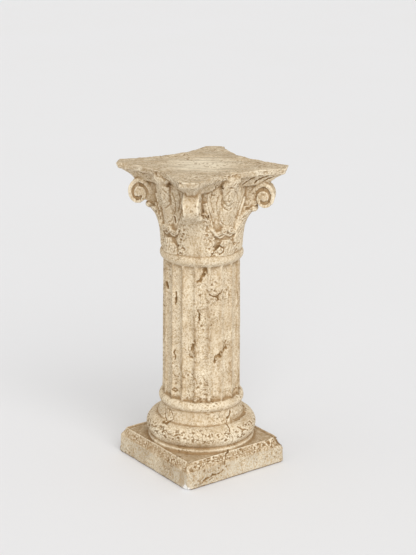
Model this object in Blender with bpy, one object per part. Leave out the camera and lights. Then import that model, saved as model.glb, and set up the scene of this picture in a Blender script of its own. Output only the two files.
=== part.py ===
"""A decorative pedestal cast in plaster as a small Corinthian column, in metres, +Z up.

The pedestal is one casting, so it is one solid: a square plinth, a turned base, a fluted shaft, an
astragal, a leafy capital with four corner volutes, and an abacus with hollow sides and cut corners.
The origin is at the middle of the underside. The sides of the plinth lie along X and Y, so the
corner leaves, the volutes and the corners of the abacus lie on the diagonals.
"""

import math

import bmesh
import bpy
from mathutils import Matrix, Vector

# Heights of the courses, from the floor up.
PLINTH_FACE_HEIGHT = 0.0475
PLINTH_BEVEL_HEIGHT = 0.0155
FOOT_FILLET_HEIGHT = 0.0045
LOWER_TORUS_HEIGHT = 0.0495
SCOTIA_HEIGHT = 0.031
UPPER_TORUS_HEIGHT = 0.022
SHAFT_HEIGHT = 0.317
ASTRAGAL_HEIGHT = 0.023
BELL_HEIGHT = 0.150
ABACUS_HEIGHT = 0.040

# Plinth.
PLINTH_HALF_SIDE = 0.1365
PLINTH_DRAFT = 0.0012
PLINTH_BEVEL_INSET = 0.010

# Turned base. A bulge is how far a round stands out from its own middle line.
FOOT_FILLET_RADIUS = 0.1225
LOWER_TORUS_RADIUS = 0.1265
LOWER_TORUS_BULGE = 0.024
SCOTIA_LIP_RADIUS = 0.1000
SCOTIA_LIP_HEIGHT = 0.004
SCOTIA_NECK_RADIUS = 0.0915
UPPER_TORUS_RADIUS = 0.0975
UPPER_TORUS_BULGE = 0.009

# Where the rounds start below their widest point, and where they stop short of their top, in degrees.
LOWER_TORUS_START = -56.0
UPPER_TORUS_START = -72.0
ASTRAGAL_START = -66.0
TORUS_END = 84.0

# Fluted shaft.
SHAFT_FOOT_RADIUS = 0.0892
SHAFT_HEAD_RADIUS = 0.0862
FLUTE_COUNT = 18
FLUTE_DEPTH = 0.0055
FLUTE_HEAD_FADE = 0.007
FADE_MIDDLE = 0.6
FADE_MIDDLE_DEPTH = 0.7

# Astragal.
ASTRAGAL_RADIUS = 0.0938
ASTRAGAL_BULGE = 0.006
ASTRAGAL_FLARE_HEIGHT = 0.003

# Bell.
BELL_FOOT_RADIUS = 0.0855
BELL_WAIST_RADIUS = 0.0885
BELL_WAIST_HEIGHT = 0.070
BELL_LIP_RADIUS = 0.1010

# Leaves. A leaf's edge lies lower than its middle, and its sides are notched between the lobes.
LEAF_EDGE_DROP = 0.0028
LEAF_RIB = 0.0012
LEAF_FOOT_RELIEF = 0.5
LEAF_NOTCH_SINK = 0.0016
LEAF_LOBE_DEPTH = 0.16
LEAF_TIP_SPREAD = 0.42
LEAF_TIP_START = 0.5
LEAF_FLARE_POWER = 4
LEAF_FLARE_EDGE = 0.5
CORNER_LEAF_HALF_ANGLE = math.radians(28.0)
CORNER_LEAF_RELIEF = 0.0058
CORNER_LEAF_FLARE = 0.026
CORNER_LEAF_LOBES = 4
LEAF_ROLL_RADIUS = 0.0055
LEAF_ROLL_HALF_WIDTH = 0.015
LEAF_ROLL_INSET = 0.6
LEAF_ROLL_SHOULDER = 0.6
LEAF_ROLL_END_SIZE = 0.55
FACE_LEAF_HEIGHT = 0.037
FACE_LEAF_HALF_ANGLE = math.radians(17.0)
FACE_LEAF_RELIEF = 0.0078
FACE_LEAF_FLARE = 0.003
FACE_LEAF_LOBES = 3

# Lyre of each face: two scrolls, the stems that rise from them, and a smooth petal between the stems.
CURL_HEIGHT = 0.053
CURL_RADIUS = 0.0072
CURL_PROUD = 0.0105
CURL_OFFSET_ANGLE = math.radians(5.2)
CURL_SHOULDER = 0.75
CURL_FACE_SIZE = 0.6
LYRE_HALF_WIDTH = 0.0042
LYRE_PROUD = 0.0085
LYRE_SHOULDER = 0.8
LYRE_ROOT = 0.6
LYRE_DIP = 0.0065
LYRE_DIP_END = 0.45
LYRE_SPREAD_POWER = 0.75
LYRE_CLIMB_POWER = 1.9
LYRE_HEAD_HEIGHT = 0.124
LYRE_HEAD_ANGLE = math.radians(33.0)
PETAL_HEIGHT = 0.060
PETAL_HALF_ANGLE = math.radians(13.0)
PETAL_RELIEF = 0.0048
PETAL_EDGE_FALL = 0.7
PETAL_FOOT_PHASE = 0.45
PETAL_HEAD_PHASE = 2.4

# Corner volutes.
VOLUTE_REACH = 0.1405
VOLUTE_HALF_WIDTH_OUT = 0.0255
VOLUTE_HALF_HEIGHT = 0.0280
VOLUTE_TURNS = 1.6
VOLUTE_SHRINK = 0.30
VOLUTE_CHEEK_HALF_WIDTH = 0.0140
VOLUTE_CHEEK_INSET = 0.75
VOLUTE_CHEEK_START = 8.0
VOLUTE_EYE_RADIUS = 0.0055
VOLUTE_EYE_PROUD = 0.0006
RIBBON_HALF_WIDTH = 0.0180
RIBBON_THICKNESS = 0.0058
RIBBON_END_THICKNESS = 0.0032
RIBBON_STEM_HALF_WIDTH = 0.0110
RIBBON_STEM_HEIGHT = 0.066
RIBBON_STEM_LEAN = 0.008
RIBBON_LIFT = 0.62
RIBBON_LEAD = 0.55
RIBBON_FULL_WIDTH_AT = 0.9

# The web behind a volute is wider at the bell than at its head. Its knee and tip are given in shares of the
# volute's half width and half height.
WEB_ROOT_HALF_WIDTH = 0.0225
WEB_HEAD_HALF_WIDTH = 0.0100
WEB_FOOT = 0.85
WEB_KNEE = (-0.72, -0.55)
WEB_TIP = (0.0, -0.3)
WEB_HEAD = 0.4

# Abacus.
ABACUS_CORNER_REACH = 0.1898
ABACUS_SIDE_REACH = 0.1210
ABACUS_SIDE_HOLLOW_RADIUS = 0.2510
ABACUS_FASCIA_HEIGHT = 0.0145
ABACUS_FASCIA_SLOPE = 0.0090
ABACUS_STEP = 0.0018
ABACUS_UNDERCUT = 0.0150
ABACUS_UNDERCUT_SAG = 0.0012
FLOWER_HALF_WIDTH = 0.0130
FLOWER_HALF_HEIGHT = 0.0150
FLOWER_PROUD = 0.0050
FLOWER_CAP_ANGLE = 62.0
FLOWER_CAP_STEPS = 4
FLOWER_DROP = 0.7

# Broken corners: how far each flat break cuts in from the tip, and which way the break faces.
PLINTH_RIGHT_CHIP = 0.011
PLINTH_LEFT_CHIP = 0.003
PLINTH_FRONT_CHIP = 0.0015
ABACUS_BACK_CHIP = 0.005
PLINTH_RIGHT_BREAK = Vector((0.71, 0.71, 0.55)).normalized()
PLINTH_LEFT_BREAK = Vector((-0.71, -0.71, 1.1)).normalized()
PLINTH_FRONT_BREAK = Vector((0.71, -0.71, -0.9)).normalized()
ABACUS_BACK_BREAK = Vector((-0.41, 0.81, 0.12)).normalized()

# How deep one course or leaf is sunk into what carries it, so that they become one body.
SEAT = 0.004

# Steps used to turn curves into faces.
ROUND_SEGMENTS = 36
LARGE_TORUS_STEPS = 6
SMALL_TORUS_STEPS = 4
SCOTIA_STEPS = 3
STEPS_PER_FLUTE = 4
BELL_STEPS = 4
LEAF_STEPS_ACROSS = 3
PETAL_STEPS = 4
LYRE_STEPS = 5
ROUND_STEPS = 8
VOLUTE_STEPS_PER_TURN = 14
STEM_STEPS = 4
ABACUS_SIDE_STEPS = 8

PLINTH_TOP = PLINTH_FACE_HEIGHT + PLINTH_BEVEL_HEIGHT
LOWER_TORUS_FOOT = PLINTH_TOP + FOOT_FILLET_HEIGHT
SCOTIA_FOOT = LOWER_TORUS_FOOT + LOWER_TORUS_HEIGHT
UPPER_TORUS_FOOT = SCOTIA_FOOT + SCOTIA_HEIGHT
SHAFT_FOOT = UPPER_TORUS_FOOT + UPPER_TORUS_HEIGHT
ASTRAGAL_FOOT = SHAFT_FOOT + SHAFT_HEIGHT
BELL_FOOT = ASTRAGAL_FOOT + ASTRAGAL_HEIGHT
ABACUS_FOOT = BELL_FOOT + BELL_HEIGHT
TOP = ABACUS_FOOT + ABACUS_HEIGHT

# The volute bites a little into the abacus, and the corner leaf's tip bites into the volute's underside.
VOLUTE_CENTRE_HEIGHT = ABACUS_FOOT + SEAT / 2.0 - VOLUTE_HALF_HEIGHT
CORNER_LEAF_HEIGHT = VOLUTE_CENTRE_HEIGHT - VOLUTE_HALF_HEIGHT + SEAT / 2.0 - LEAF_ROLL_RADIUS - BELL_FOOT

CORNER_ANGLES = [math.radians(45.0 + 90.0 * quarter) for quarter in range(4)]
FACE_ANGLES = [math.radians(90.0 * quarter) for quarter in range(4)]
UP = Vector((0.0, 0.0, 1.0))


def smooth_step(value, low, high):
    """0 below low, 1 above high and a soft S between."""
    share = min(max((value - low) / (high - low), 0.0), 1.0)
    return share * share * (3.0 - 2.0 * share)


def mix(start, end, share):
    return start + (end - start) * share


def ellipse_arc(centre, half_width, half_height, start, end, steps):
    """Points (across, height) along an ellipse, from one angle in degrees to another."""
    points = []
    for step in range(steps + 1):
        angle = math.radians(mix(start, end, step / steps))
        points.append((centre[0] + half_width * math.cos(angle), centre[1] + half_height * math.sin(angle)))
    return points


def round_outline(centre, half_width, half_height):
    """A small circle or oval as a closed outline, without its first point repeated."""
    return ellipse_arc(centre, half_width, half_height, 0.0, 360.0, ROUND_STEPS)[:-1]


def object_from_rings(name, rings):
    """A closed solid skinned over rings of equal length, with flat ends."""
    form = bmesh.new()
    loops = [[form.verts.new(point) for point in ring] for ring in rings]
    count = len(loops[0])
    for lower, upper in zip(loops, loops[1:]):
        for here in range(count):
            there = (here + 1) % count
            form.faces.new((lower[here], lower[there], upper[there], upper[here]))
    form.faces.new(list(reversed(loops[0])))
    form.faces.new(loops[-1])
    bmesh.ops.recalc_face_normals(form, faces=form.faces)
    mesh = bpy.data.meshes.new(name)
    form.to_mesh(mesh)
    form.free()
    made = bpy.data.objects.new(name, mesh)
    bpy.context.scene.collection.objects.link(made)
    return made


def turned(name, profile, segments):
    """A solid of revolution about Z from (radius, height) points that run upward."""
    rings = []
    for radius, height in profile:
        ring = []
        for segment in range(segments):
            angle = 2.0 * math.pi * segment / segments
            ring.append((radius * math.cos(angle), radius * math.sin(angle), height))
        rings.append(ring)
    return object_from_rings(name, rings)


def extruded(name, outline, half_width):
    """A solid that runs half_width to both sides of an outline of (x, z) points."""
    return object_from_rings(name, [[(x, side, z) for x, z in outline] for side in (-half_width, half_width)])


def break_corner(piece, direction, depth):
    """Breaks off the tip that reaches furthest along direction and closes the break."""
    form = bmesh.new()
    form.from_mesh(piece.data)
    reach = max(point.co.dot(direction) for point in form.verts)
    geometry = form.verts[:] + form.edges[:] + form.faces[:]
    cut = bmesh.ops.bisect_plane(
        form, geom=geometry, plane_co=direction * (reach - depth), plane_no=direction, clear_outer=True)
    rim = [item for item in cut["geom_cut"] if isinstance(item, bmesh.types.BMEdge)]
    bmesh.ops.contextual_create(form, geom=rim)
    form.to_mesh(piece.data)
    form.free()


def square_ring(half_side, height):
    return [
        (half_side, half_side, height),
        (-half_side, half_side, height),
        (-half_side, -half_side, height),
        (half_side, -half_side, height),
    ]


def plinth():
    """A square block with a bevelled upper edge and three broken corners."""
    face_half = PLINTH_HALF_SIDE - PLINTH_DRAFT
    block = object_from_rings("plinth", [
        square_ring(PLINTH_HALF_SIDE, 0.0),
        square_ring(face_half, PLINTH_FACE_HEIGHT),
        square_ring(face_half - PLINTH_BEVEL_INSET, PLINTH_TOP),
    ])
    break_corner(block, PLINTH_RIGHT_BREAK, PLINTH_RIGHT_CHIP)
    break_corner(block, PLINTH_LEFT_BREAK, PLINTH_LEFT_CHIP)
    break_corner(block, PLINTH_FRONT_BREAK, PLINTH_FRONT_CHIP)
    return block


def torus_arc(radius, bulge, foot, height, start, steps):
    """The round of a torus whose foot and height are given, from a start angle almost to its top."""
    return ellipse_arc((radius - bulge, foot + height / 2.0), bulge, height / 2.0, start, TORUS_END, steps)


def base_mouldings():
    """Foot fillet, lower torus, scotia and upper torus, turned in one profile."""
    lip_top = SCOTIA_FOOT + SCOTIA_LIP_HEIGHT
    hollow_depth = SCOTIA_LIP_RADIUS - SCOTIA_NECK_RADIUS
    profile = [(FOOT_FILLET_RADIUS, PLINTH_TOP - SEAT), (FOOT_FILLET_RADIUS, LOWER_TORUS_FOOT)]
    profile += torus_arc(
        LOWER_TORUS_RADIUS, LOWER_TORUS_BULGE, LOWER_TORUS_FOOT, LOWER_TORUS_HEIGHT, LOWER_TORUS_START,
        LARGE_TORUS_STEPS)
    profile += [(SCOTIA_LIP_RADIUS, SCOTIA_FOOT), (SCOTIA_LIP_RADIUS, lip_top)]
    for step in range(1, SCOTIA_STEPS + 1):
        share = step / SCOTIA_STEPS
        radius = SCOTIA_LIP_RADIUS - hollow_depth * math.sin(share * math.pi / 2.0)
        profile.append((radius, mix(lip_top, UPPER_TORUS_FOOT, share)))
    profile += torus_arc(
        UPPER_TORUS_RADIUS, UPPER_TORUS_BULGE, UPPER_TORUS_FOOT, UPPER_TORUS_HEIGHT, UPPER_TORUS_START,
        SMALL_TORUS_STEPS)
    return turned("base", profile, ROUND_SEGMENTS)


def shaft_ring(height, depth):
    """One ring of the shaft: thin arrises with a round hollow of the given depth between them.

    A flute is centred on each diagonal that the count allows, starting with the first corner.
    """
    ring = []
    steps = FLUTE_COUNT * STEPS_PER_FLUTE
    first = CORNER_ANGLES[0] - math.pi / FLUTE_COUNT
    full = mix(SHAFT_FOOT_RADIUS, SHAFT_HEAD_RADIUS, (height - SHAFT_FOOT) / SHAFT_HEIGHT)
    for step in range(steps):
        across = 2.0 * (step % STEPS_PER_FLUTE) / STEPS_PER_FLUTE - 1.0
        radius = full - depth * math.sqrt(1.0 - across * across)
        angle = first + 2.0 * math.pi * step / steps
        ring.append((radius * math.cos(angle), radius * math.sin(angle), height))
    return ring


def fluted_shaft():
    """The shaft runs from inside the upper torus to inside the astragal."""
    fade_foot = ASTRAGAL_FOOT - FLUTE_HEAD_FADE
    fade_middle = mix(fade_foot, ASTRAGAL_FOOT, FADE_MIDDLE)
    return object_from_rings("shaft", [
        shaft_ring(SHAFT_FOOT - UPPER_TORUS_HEIGHT / 2.0, FLUTE_DEPTH),
        shaft_ring(fade_foot, FLUTE_DEPTH),
        shaft_ring(fade_middle, FLUTE_DEPTH * FADE_MIDDLE_DEPTH),
        shaft_ring(ASTRAGAL_FOOT + SEAT, 0.0),
    ])


def bell_radius(height):
    """The radius of the bell behind the leaves, by the height above its foot."""
    to_waist = min(max(height / BELL_WAIST_HEIGHT, 0.0), 1.0)
    to_lip = smooth_step(height, BELL_WAIST_HEIGHT, BELL_HEIGHT)
    return mix(mix(BELL_FOOT_RADIUS, BELL_WAIST_RADIUS, to_waist), BELL_LIP_RADIUS, to_lip)


def on_bell(proud, angle, height):
    """A point that stands proud of the bell, by its angle and its height above the bell's foot."""
    radius = bell_radius(height) + proud
    return Vector((radius * math.cos(angle), radius * math.sin(angle), BELL_FOOT + height))


def capital_core():
    """The astragal and the plain bell above it, from inside the shaft to inside the abacus."""
    round_foot = ASTRAGAL_FOOT + ASTRAGAL_FLARE_HEIGHT
    root = SHAFT_HEAD_RADIUS - 2.0 * FLUTE_DEPTH
    profile = [(root, ASTRAGAL_FOOT - SEAT), (SHAFT_HEAD_RADIUS, ASTRAGAL_FOOT)]
    profile += torus_arc(
        ASTRAGAL_RADIUS, ASTRAGAL_BULGE, round_foot, BELL_FOOT - round_foot, ASTRAGAL_START,
        SMALL_TORUS_STEPS)
    for step in range(BELL_STEPS + 1):
        height = mix(SEAT / 2.0, BELL_HEIGHT + SEAT, step / BELL_STEPS)
        profile.append((bell_radius(height), BELL_FOOT + height))
    return turned("capital_core", profile, ROUND_SEGMENTS)


def leaf_half_angle(share, half_angle, lobes):
    """Half the leaf's spread at a share of its height: notched sides that draw in to a blunt tip."""
    notched = 1.0 - LEAF_LOBE_DEPTH * abs(math.cos(share * math.pi * lobes))
    return half_angle * notched * mix(1.0, LEAF_TIP_SPREAD, smooth_step(share, LEAF_TIP_START, 1.0))


def leaf(name, direction, height, half_angle, relief, flare, lobes):
    """A leaf that rises from the bell's foot and bends out towards its tip.

    Each ring runs across the outer face and back inside the bell. The lowest ring lies inside the astragal.
    """
    steps_up = 2 * lobes
    rings = []
    for row in range(steps_up + 1):
        share = row / steps_up
        level = mix(-SEAT / 2.0, height, share)
        half_spread = leaf_half_angle(share, half_angle, lobes)
        notch = LEAF_NOTCH_SINK * abs(math.cos(share * math.pi * lobes))
        outer = []
        inner = []
        for column in range(-LEAF_STEPS_ACROSS, LEAF_STEPS_ACROSS + 1):
            across = column / LEAF_STEPS_ACROSS
            dome = relief - (LEAF_EDGE_DROP + notch) * across ** 2
            if column == 0:
                dome += LEAF_RIB
            if row == 0:
                dome *= LEAF_FOOT_RELIEF
            proud = dome + flare * share ** LEAF_FLARE_POWER * (1.0 - LEAF_FLARE_EDGE * across ** 2)
            angle = direction + across * half_spread
            outer.append(on_bell(proud, angle, level))
            inner.append(on_bell(-SEAT, angle, level))
        rings.append(outer + list(reversed(inner)))
    return object_from_rings(name, rings)


def petal(direction):
    """The smooth petal above the scrolls, widest at its middle."""
    rings = []
    for row in range(PETAL_STEPS + 1):
        share = row / PETAL_STEPS
        level = CURL_HEIGHT + PETAL_HEIGHT * share
        half_spread = PETAL_HALF_ANGLE * math.sin(mix(PETAL_FOOT_PHASE, PETAL_HEAD_PHASE, share))
        outer = []
        inner = []
        for column in range(PETAL_STEPS + 1):
            across = 2.0 * column / PETAL_STEPS - 1.0
            angle = direction + across * half_spread
            outer.append(on_bell(PETAL_RELIEF * (1.0 - PETAL_EDGE_FALL * across ** 2), angle, level))
            inner.append(on_bell(-SEAT, angle, level))
        rings.append(outer + list(reversed(inner)))
    return object_from_rings("petal", rings)


def curl(direction):
    """A small round scroll that stands straight out of the bell."""
    core = bell_radius(CURL_HEIGHT)
    outward = Vector((math.cos(direction), math.sin(direction), 0.0))
    side = UP.cross(outward)
    middle = UP * (BELL_FOOT + CURL_HEIGHT)
    shoulder = core + CURL_PROUD * CURL_SHOULDER
    rings = []
    for reach, size in ((core - SEAT, 1.0), (shoulder, 1.0), (core + CURL_PROUD, CURL_FACE_SIZE)):
        ring = []
        for across, rise in round_outline((0.0, 0.0), CURL_RADIUS * size, CURL_RADIUS * size):
            ring.append(middle + outward * reach + side * across + UP * rise)
        rings.append(ring)
    return object_from_rings("curl", rings)


def lyre_station(direction, side, share):
    """The angle and height of a lyre stem at a share of its run."""
    spread = side * mix(CURL_OFFSET_ANGLE, LYRE_HEAD_ANGLE, share ** LYRE_SPREAD_POWER)
    dip = LYRE_DIP * math.sin(min(share / LYRE_DIP_END, 1.0) * math.pi)
    level = mix(CURL_HEIGHT - CURL_RADIUS * LYRE_ROOT, LYRE_HEAD_HEIGHT, share ** LYRE_CLIMB_POWER) - dip
    return direction + spread, level


def lyre_stem(direction, side):
    """One of the two stems that start at the scrolls, dip, spread and climb to the volutes."""
    stations = [lyre_station(direction, side, step / LYRE_STEPS) for step in range(LYRE_STEPS + 1)]
    shoulder = LYRE_PROUD * LYRE_SHOULDER
    slices = []
    for index, (angle, level) in enumerate(stations):
        before = stations[max(index - 1, 0)]
        after = stations[min(index + 1, LYRE_STEPS)]
        core = bell_radius(level)
        run = Vector(((after[0] - before[0]) * core, after[1] - before[1])).normalized()
        spread = -run.y * LYRE_HALF_WIDTH / core
        rise = run.x * LYRE_HALF_WIDTH
        slices.append([
            on_bell(-SEAT, angle + spread, level + rise),
            on_bell(shoulder, angle + spread, level + rise),
            on_bell(LYRE_PROUD, angle, level),
            on_bell(shoulder, angle - spread, level - rise),
            on_bell(-SEAT, angle - spread, level - rise),
        ])
    return object_from_rings("lyre_stem", slices)


def carved_pieces():
    """Everything that is carved on the bell: corner leaves, low leaves, petals, scrolls and stems."""
    pieces = []
    for direction in CORNER_ANGLES:
        pieces.append(leaf(
            "corner_leaf", direction, CORNER_LEAF_HEIGHT, CORNER_LEAF_HALF_ANGLE, CORNER_LEAF_RELIEF,
            CORNER_LEAF_FLARE, CORNER_LEAF_LOBES))
    for direction in FACE_ANGLES:
        pieces.append(leaf(
            "face_leaf", direction, FACE_LEAF_HEIGHT, FACE_LEAF_HALF_ANGLE, FACE_LEAF_RELIEF,
            FACE_LEAF_FLARE, FACE_LEAF_LOBES))
        pieces.append(petal(direction))
        for side in (-1.0, 1.0):
            pieces.append(curl(direction + side * CURL_OFFSET_ANGLE))
            pieces.append(lyre_stem(direction, side))
    return pieces


def ribbon_stem():
    """Where the ribbon climbs from the bell to the top of the volute: (point, half width) pairs."""
    foot = Vector((bell_radius(RIBBON_STEM_HEIGHT) + CORNER_LEAF_RELIEF, BELL_FOOT + RIBBON_STEM_HEIGHT))
    top = Vector((VOLUTE_REACH, VOLUTE_CENTRE_HEIGHT + VOLUTE_HALF_HEIGHT - RIBBON_THICKNESS / 2.0))
    lift = Vector((foot.x + RIBBON_STEM_LEAN, mix(foot.y, top.y, RIBBON_LIFT)))
    lead = Vector((mix(foot.x, top.x, RIBBON_LEAD), top.y))
    stem = []
    for step in range(STEM_STEPS):
        share = step / STEM_STEPS
        rest = 1.0 - share
        point = foot * rest ** 3 + lift * (3.0 * rest ** 2 * share) + lead * (3.0 * rest * share ** 2)
        point += top * share ** 3
        widened = smooth_step(share, 0.0, RIBBON_FULL_WIDTH_AT)
        stem.append((point, mix(RIBBON_STEM_HALF_WIDTH, RIBBON_HALF_WIDTH, widened)))
    return stem


def ribbon_spiral():
    """The centre line of the ribbon from the top of the volute in to the eye."""
    half_width = VOLUTE_HALF_WIDTH_OUT - RIBBON_THICKNESS / 2.0
    half_height = VOLUTE_HALF_HEIGHT - RIBBON_THICKNESS / 2.0
    steps = round(VOLUTE_STEPS_PER_TURN * VOLUTE_TURNS)
    points = []
    for step in range(steps + 1):
        share = step / steps
        angle = math.pi / 2.0 - share * VOLUTE_TURNS * 2.0 * math.pi
        size = VOLUTE_SHRINK ** share
        points.append(Vector((
            VOLUTE_REACH + half_width * size * math.cos(angle),
            VOLUTE_CENTRE_HEIGHT + half_height * size * math.sin(angle),
        )))
    return points


def volute_ribbon():
    """The ribbon that climbs from the bell, turns over at the top and winds in to the eye."""
    stem = ribbon_stem()
    spiral = ribbon_spiral()
    path = [point for point, width in stem] + spiral
    widths = [width for point, width in stem] + [RIBBON_HALF_WIDTH] * len(spiral)
    slices = []
    for index, point in enumerate(path):
        before = path[max(index - 1, 0)]
        after = path[min(index + 1, len(path) - 1)]
        along = (after - before).normalized()
        wound = max(index - len(stem), 0) / (len(spiral) - 1)
        side = Vector((-along.y, along.x)) * mix(RIBBON_THICKNESS, RIBBON_END_THICKNESS, wound) / 2.0
        outer = point + side
        inner = point - side
        width = widths[index]
        slices.append([
            (outer.x, -width, outer.y),
            (outer.x, width, outer.y),
            (inner.x, width, inner.y),
            (inner.x, -width, inner.y),
        ])
    return object_from_rings("ribbon", slices)


def volute_cheeks():
    """The flat drum between the turns of the ribbon, set back from its edges."""
    centre = (VOLUTE_REACH, VOLUTE_CENTRE_HEIGHT)
    inset = RIBBON_THICKNESS * VOLUTE_CHEEK_INSET
    outline = ellipse_arc(
        centre, VOLUTE_HALF_WIDTH_OUT - inset, VOLUTE_HALF_HEIGHT - inset, VOLUTE_CHEEK_START,
        VOLUTE_CHEEK_START + 360.0, VOLUTE_STEPS_PER_TURN)[:-1]
    return extruded("cheeks", outline, VOLUTE_CHEEK_HALF_WIDTH)


def volute_eye():
    centre = (VOLUTE_REACH, VOLUTE_CENTRE_HEIGHT)
    outline = round_outline(centre, VOLUTE_EYE_RADIUS, VOLUTE_EYE_RADIUS)
    return extruded("eye", outline, RIBBON_HALF_WIDTH + VOLUTE_EYE_PROUD)


def volute_web():
    """The plaster left between the ribbon, the bell and the abacus, so that no gap runs through."""
    back = BELL_WAIST_RADIUS - SEAT
    roof = ABACUS_FOOT + 2.0 * SEAT
    outline = [(back, BELL_FOOT + CORNER_LEAF_HEIGHT * WEB_FOOT)]
    for outward, upward in (WEB_KNEE, WEB_TIP):
        outline.append((
            VOLUTE_REACH + VOLUTE_HALF_WIDTH_OUT * outward,
            VOLUTE_CENTRE_HEIGHT + VOLUTE_HALF_HEIGHT * upward,
        ))
    head = VOLUTE_REACH + VOLUTE_HALF_WIDTH_OUT * WEB_HEAD
    outline += [(head, roof), (back, roof)]
    slices = []
    for side in (-1.0, 1.0):
        cheek = []
        for x, z in outline:
            width = mix(WEB_ROOT_HALF_WIDTH, WEB_HEAD_HALF_WIDTH, (x - back) / (head - back))
            cheek.append((x, side * width, z))
        slices.append(cheek)
    return object_from_rings("web", slices)


def leaf_roll():
    """The rolled tip of a corner leaf, which carries the underside of the volute."""
    tip = bell_radius(CORNER_LEAF_HEIGHT) + CORNER_LEAF_RELIEF + CORNER_LEAF_FLARE
    centre = (tip - LEAF_ROLL_RADIUS * LEAF_ROLL_INSET, BELL_FOOT + CORNER_LEAF_HEIGHT)
    slices = []
    for side in (-1.0, -LEAF_ROLL_SHOULDER, LEAF_ROLL_SHOULDER, 1.0):
        size = 1.0 if abs(side) < 1.0 else LEAF_ROLL_END_SIZE
        radius = LEAF_ROLL_RADIUS * size
        outline = round_outline(centre, radius, radius)
        slices.append([(x, side * LEAF_ROLL_HALF_WIDTH, z) for x, z in outline])
    return object_from_rings("leaf_roll", slices)


def corner_pieces():
    """The pieces of the four volutes, each made along +X and turned to its corner."""
    pieces = []
    for angle in CORNER_ANGLES:
        for make in (volute_web, volute_cheeks, volute_ribbon, volute_eye, leaf_roll):
            piece = make()
            piece.data.transform(Matrix.Rotation(angle, 4, "Z"))
            pieces.append(piece)
    return pieces


def abacus_outline(inset):
    """The plan of the abacus, drawn in by inset: four hollow sides and four cut corners.

    Each side is an arc about a point outside it. It ends where it meets the flat cut of the corner.
    """
    hollow = ABACUS_SIDE_HOLLOW_RADIUS + inset
    arc_centre = ABACUS_SIDE_REACH + ABACUS_SIDE_HOLLOW_RADIUS
    offset = (ABACUS_CORNER_REACH - inset) * math.sqrt(2.0) - arc_centre
    half_chord = (offset + math.sqrt(2.0 * hollow * hollow - offset * offset)) / 2.0
    spread = math.asin(half_chord / hollow)
    side = []
    for step in range(ABACUS_SIDE_STEPS + 1):
        angle = mix(-spread, spread, step / ABACUS_SIDE_STEPS)
        side.append(Vector((arc_centre - hollow * math.cos(angle), hollow * math.sin(angle), 0.0)))
    outline = []
    for angle in FACE_ANGLES:
        outline += [Matrix.Rotation(angle, 3, "Z") @ point for point in side]
    return outline


def abacus():
    """A slab with a sloped fascia, a small step and a hollow underside, and one broken corner."""
    fascia_foot = TOP - ABACUS_FASCIA_HEIGHT
    step_inset = ABACUS_FASCIA_SLOPE + ABACUS_STEP
    foot_inset = step_inset + ABACUS_UNDERCUT
    undercut_middle = mix(foot_inset, step_inset, 0.5) - ABACUS_UNDERCUT_SAG
    levels = [
        (foot_inset + SEAT, ABACUS_FOOT - SEAT),
        (foot_inset, ABACUS_FOOT),
        (undercut_middle, mix(ABACUS_FOOT, fascia_foot, 0.5)),
        (step_inset, fascia_foot - ABACUS_STEP),
        (ABACUS_FASCIA_SLOPE, fascia_foot),
        (0.0, TOP),
    ]
    rings = [[(point.x, point.y, height) for point in abacus_outline(inset)] for inset, height in levels]
    slab = object_from_rings("abacus", rings)
    break_corner(slab, ABACUS_BACK_BREAK, ABACUS_BACK_CHIP)
    return slab


def abacus_flower(direction):
    """A worn boss in the middle of one side of the abacus."""
    depth = FLOWER_PROUD + ABACUS_FASCIA_SLOPE
    rings = []
    arc = ellipse_arc(
        (0.0, 0.0), 1.0, FLOWER_HALF_HEIGHT, -FLOWER_CAP_ANGLE, FLOWER_CAP_ANGLE, FLOWER_CAP_STEPS)
    for across, rise in arc:
        outline = round_outline((0.0, 0.0), depth * across, FLOWER_HALF_WIDTH * across)
        rings.append([(x, y, rise) for x, y in outline])
    flower = object_from_rings("flower", rings)
    reach = ABACUS_SIDE_REACH - ABACUS_FASCIA_SLOPE
    height = TOP - ABACUS_FASCIA_HEIGHT - FLOWER_HALF_HEIGHT * FLOWER_DROP
    flower.data.transform(Matrix.Rotation(direction, 4, "Z") @ Matrix.Translation((reach, 0.0, height)))
    return flower


def unite(name, pieces):
    """Joins the pieces into one closed body in a single step and removes them."""
    body = pieces[0]
    others = bpy.data.collections.new("others")
    for piece in pieces[1:]:
        others.objects.link(piece)
    union = body.modifiers.new("union", "BOOLEAN")
    union.operation = "UNION"
    union.solver = "EXACT"
    union.operand_type = "COLLECTION"
    union.collection = others
    evaluated = body.evaluated_get(bpy.context.evaluated_depsgraph_get())
    joined = bpy.data.meshes.new_from_object(evaluated)
    body.modifiers.clear()
    body.data = joined
    for piece in pieces[1:]:
        bpy.data.objects.remove(piece)
    bpy.data.collections.remove(others)
    body.name = name
    body.data.name = name
    return body


def plaster_material():
    """Cream plaster with a matt, slightly tanned surface."""
    material = bpy.data.materials.new("antiqued_plaster")
    material.use_nodes = True
    shader = material.node_tree.nodes["Principled BSDF"]
    shader.inputs["Base Color"].default_value = (0.60, 0.49, 0.34, 1.0)
    shader.inputs["Roughness"].default_value = 0.85
    shader.inputs["Metallic"].default_value = 0.0
    return material


def build_column():
    pieces = [plinth(), base_mouldings(), fluted_shaft(), capital_core()]
    pieces += carved_pieces()
    pieces += corner_pieces()
    pieces.append(abacus())
    pieces += [abacus_flower(direction) for direction in FACE_ANGLES]
    column = unite("column", pieces)
    column.data.materials.clear()
    column.data.materials.append(plaster_material())
    column.data.shade_smooth()
    column.data.set_sharp_from_angle(angle=math.radians(35.0))
    return column


for existing in list(bpy.data.objects):
    bpy.data.objects.remove(existing)
build_column()
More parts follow.
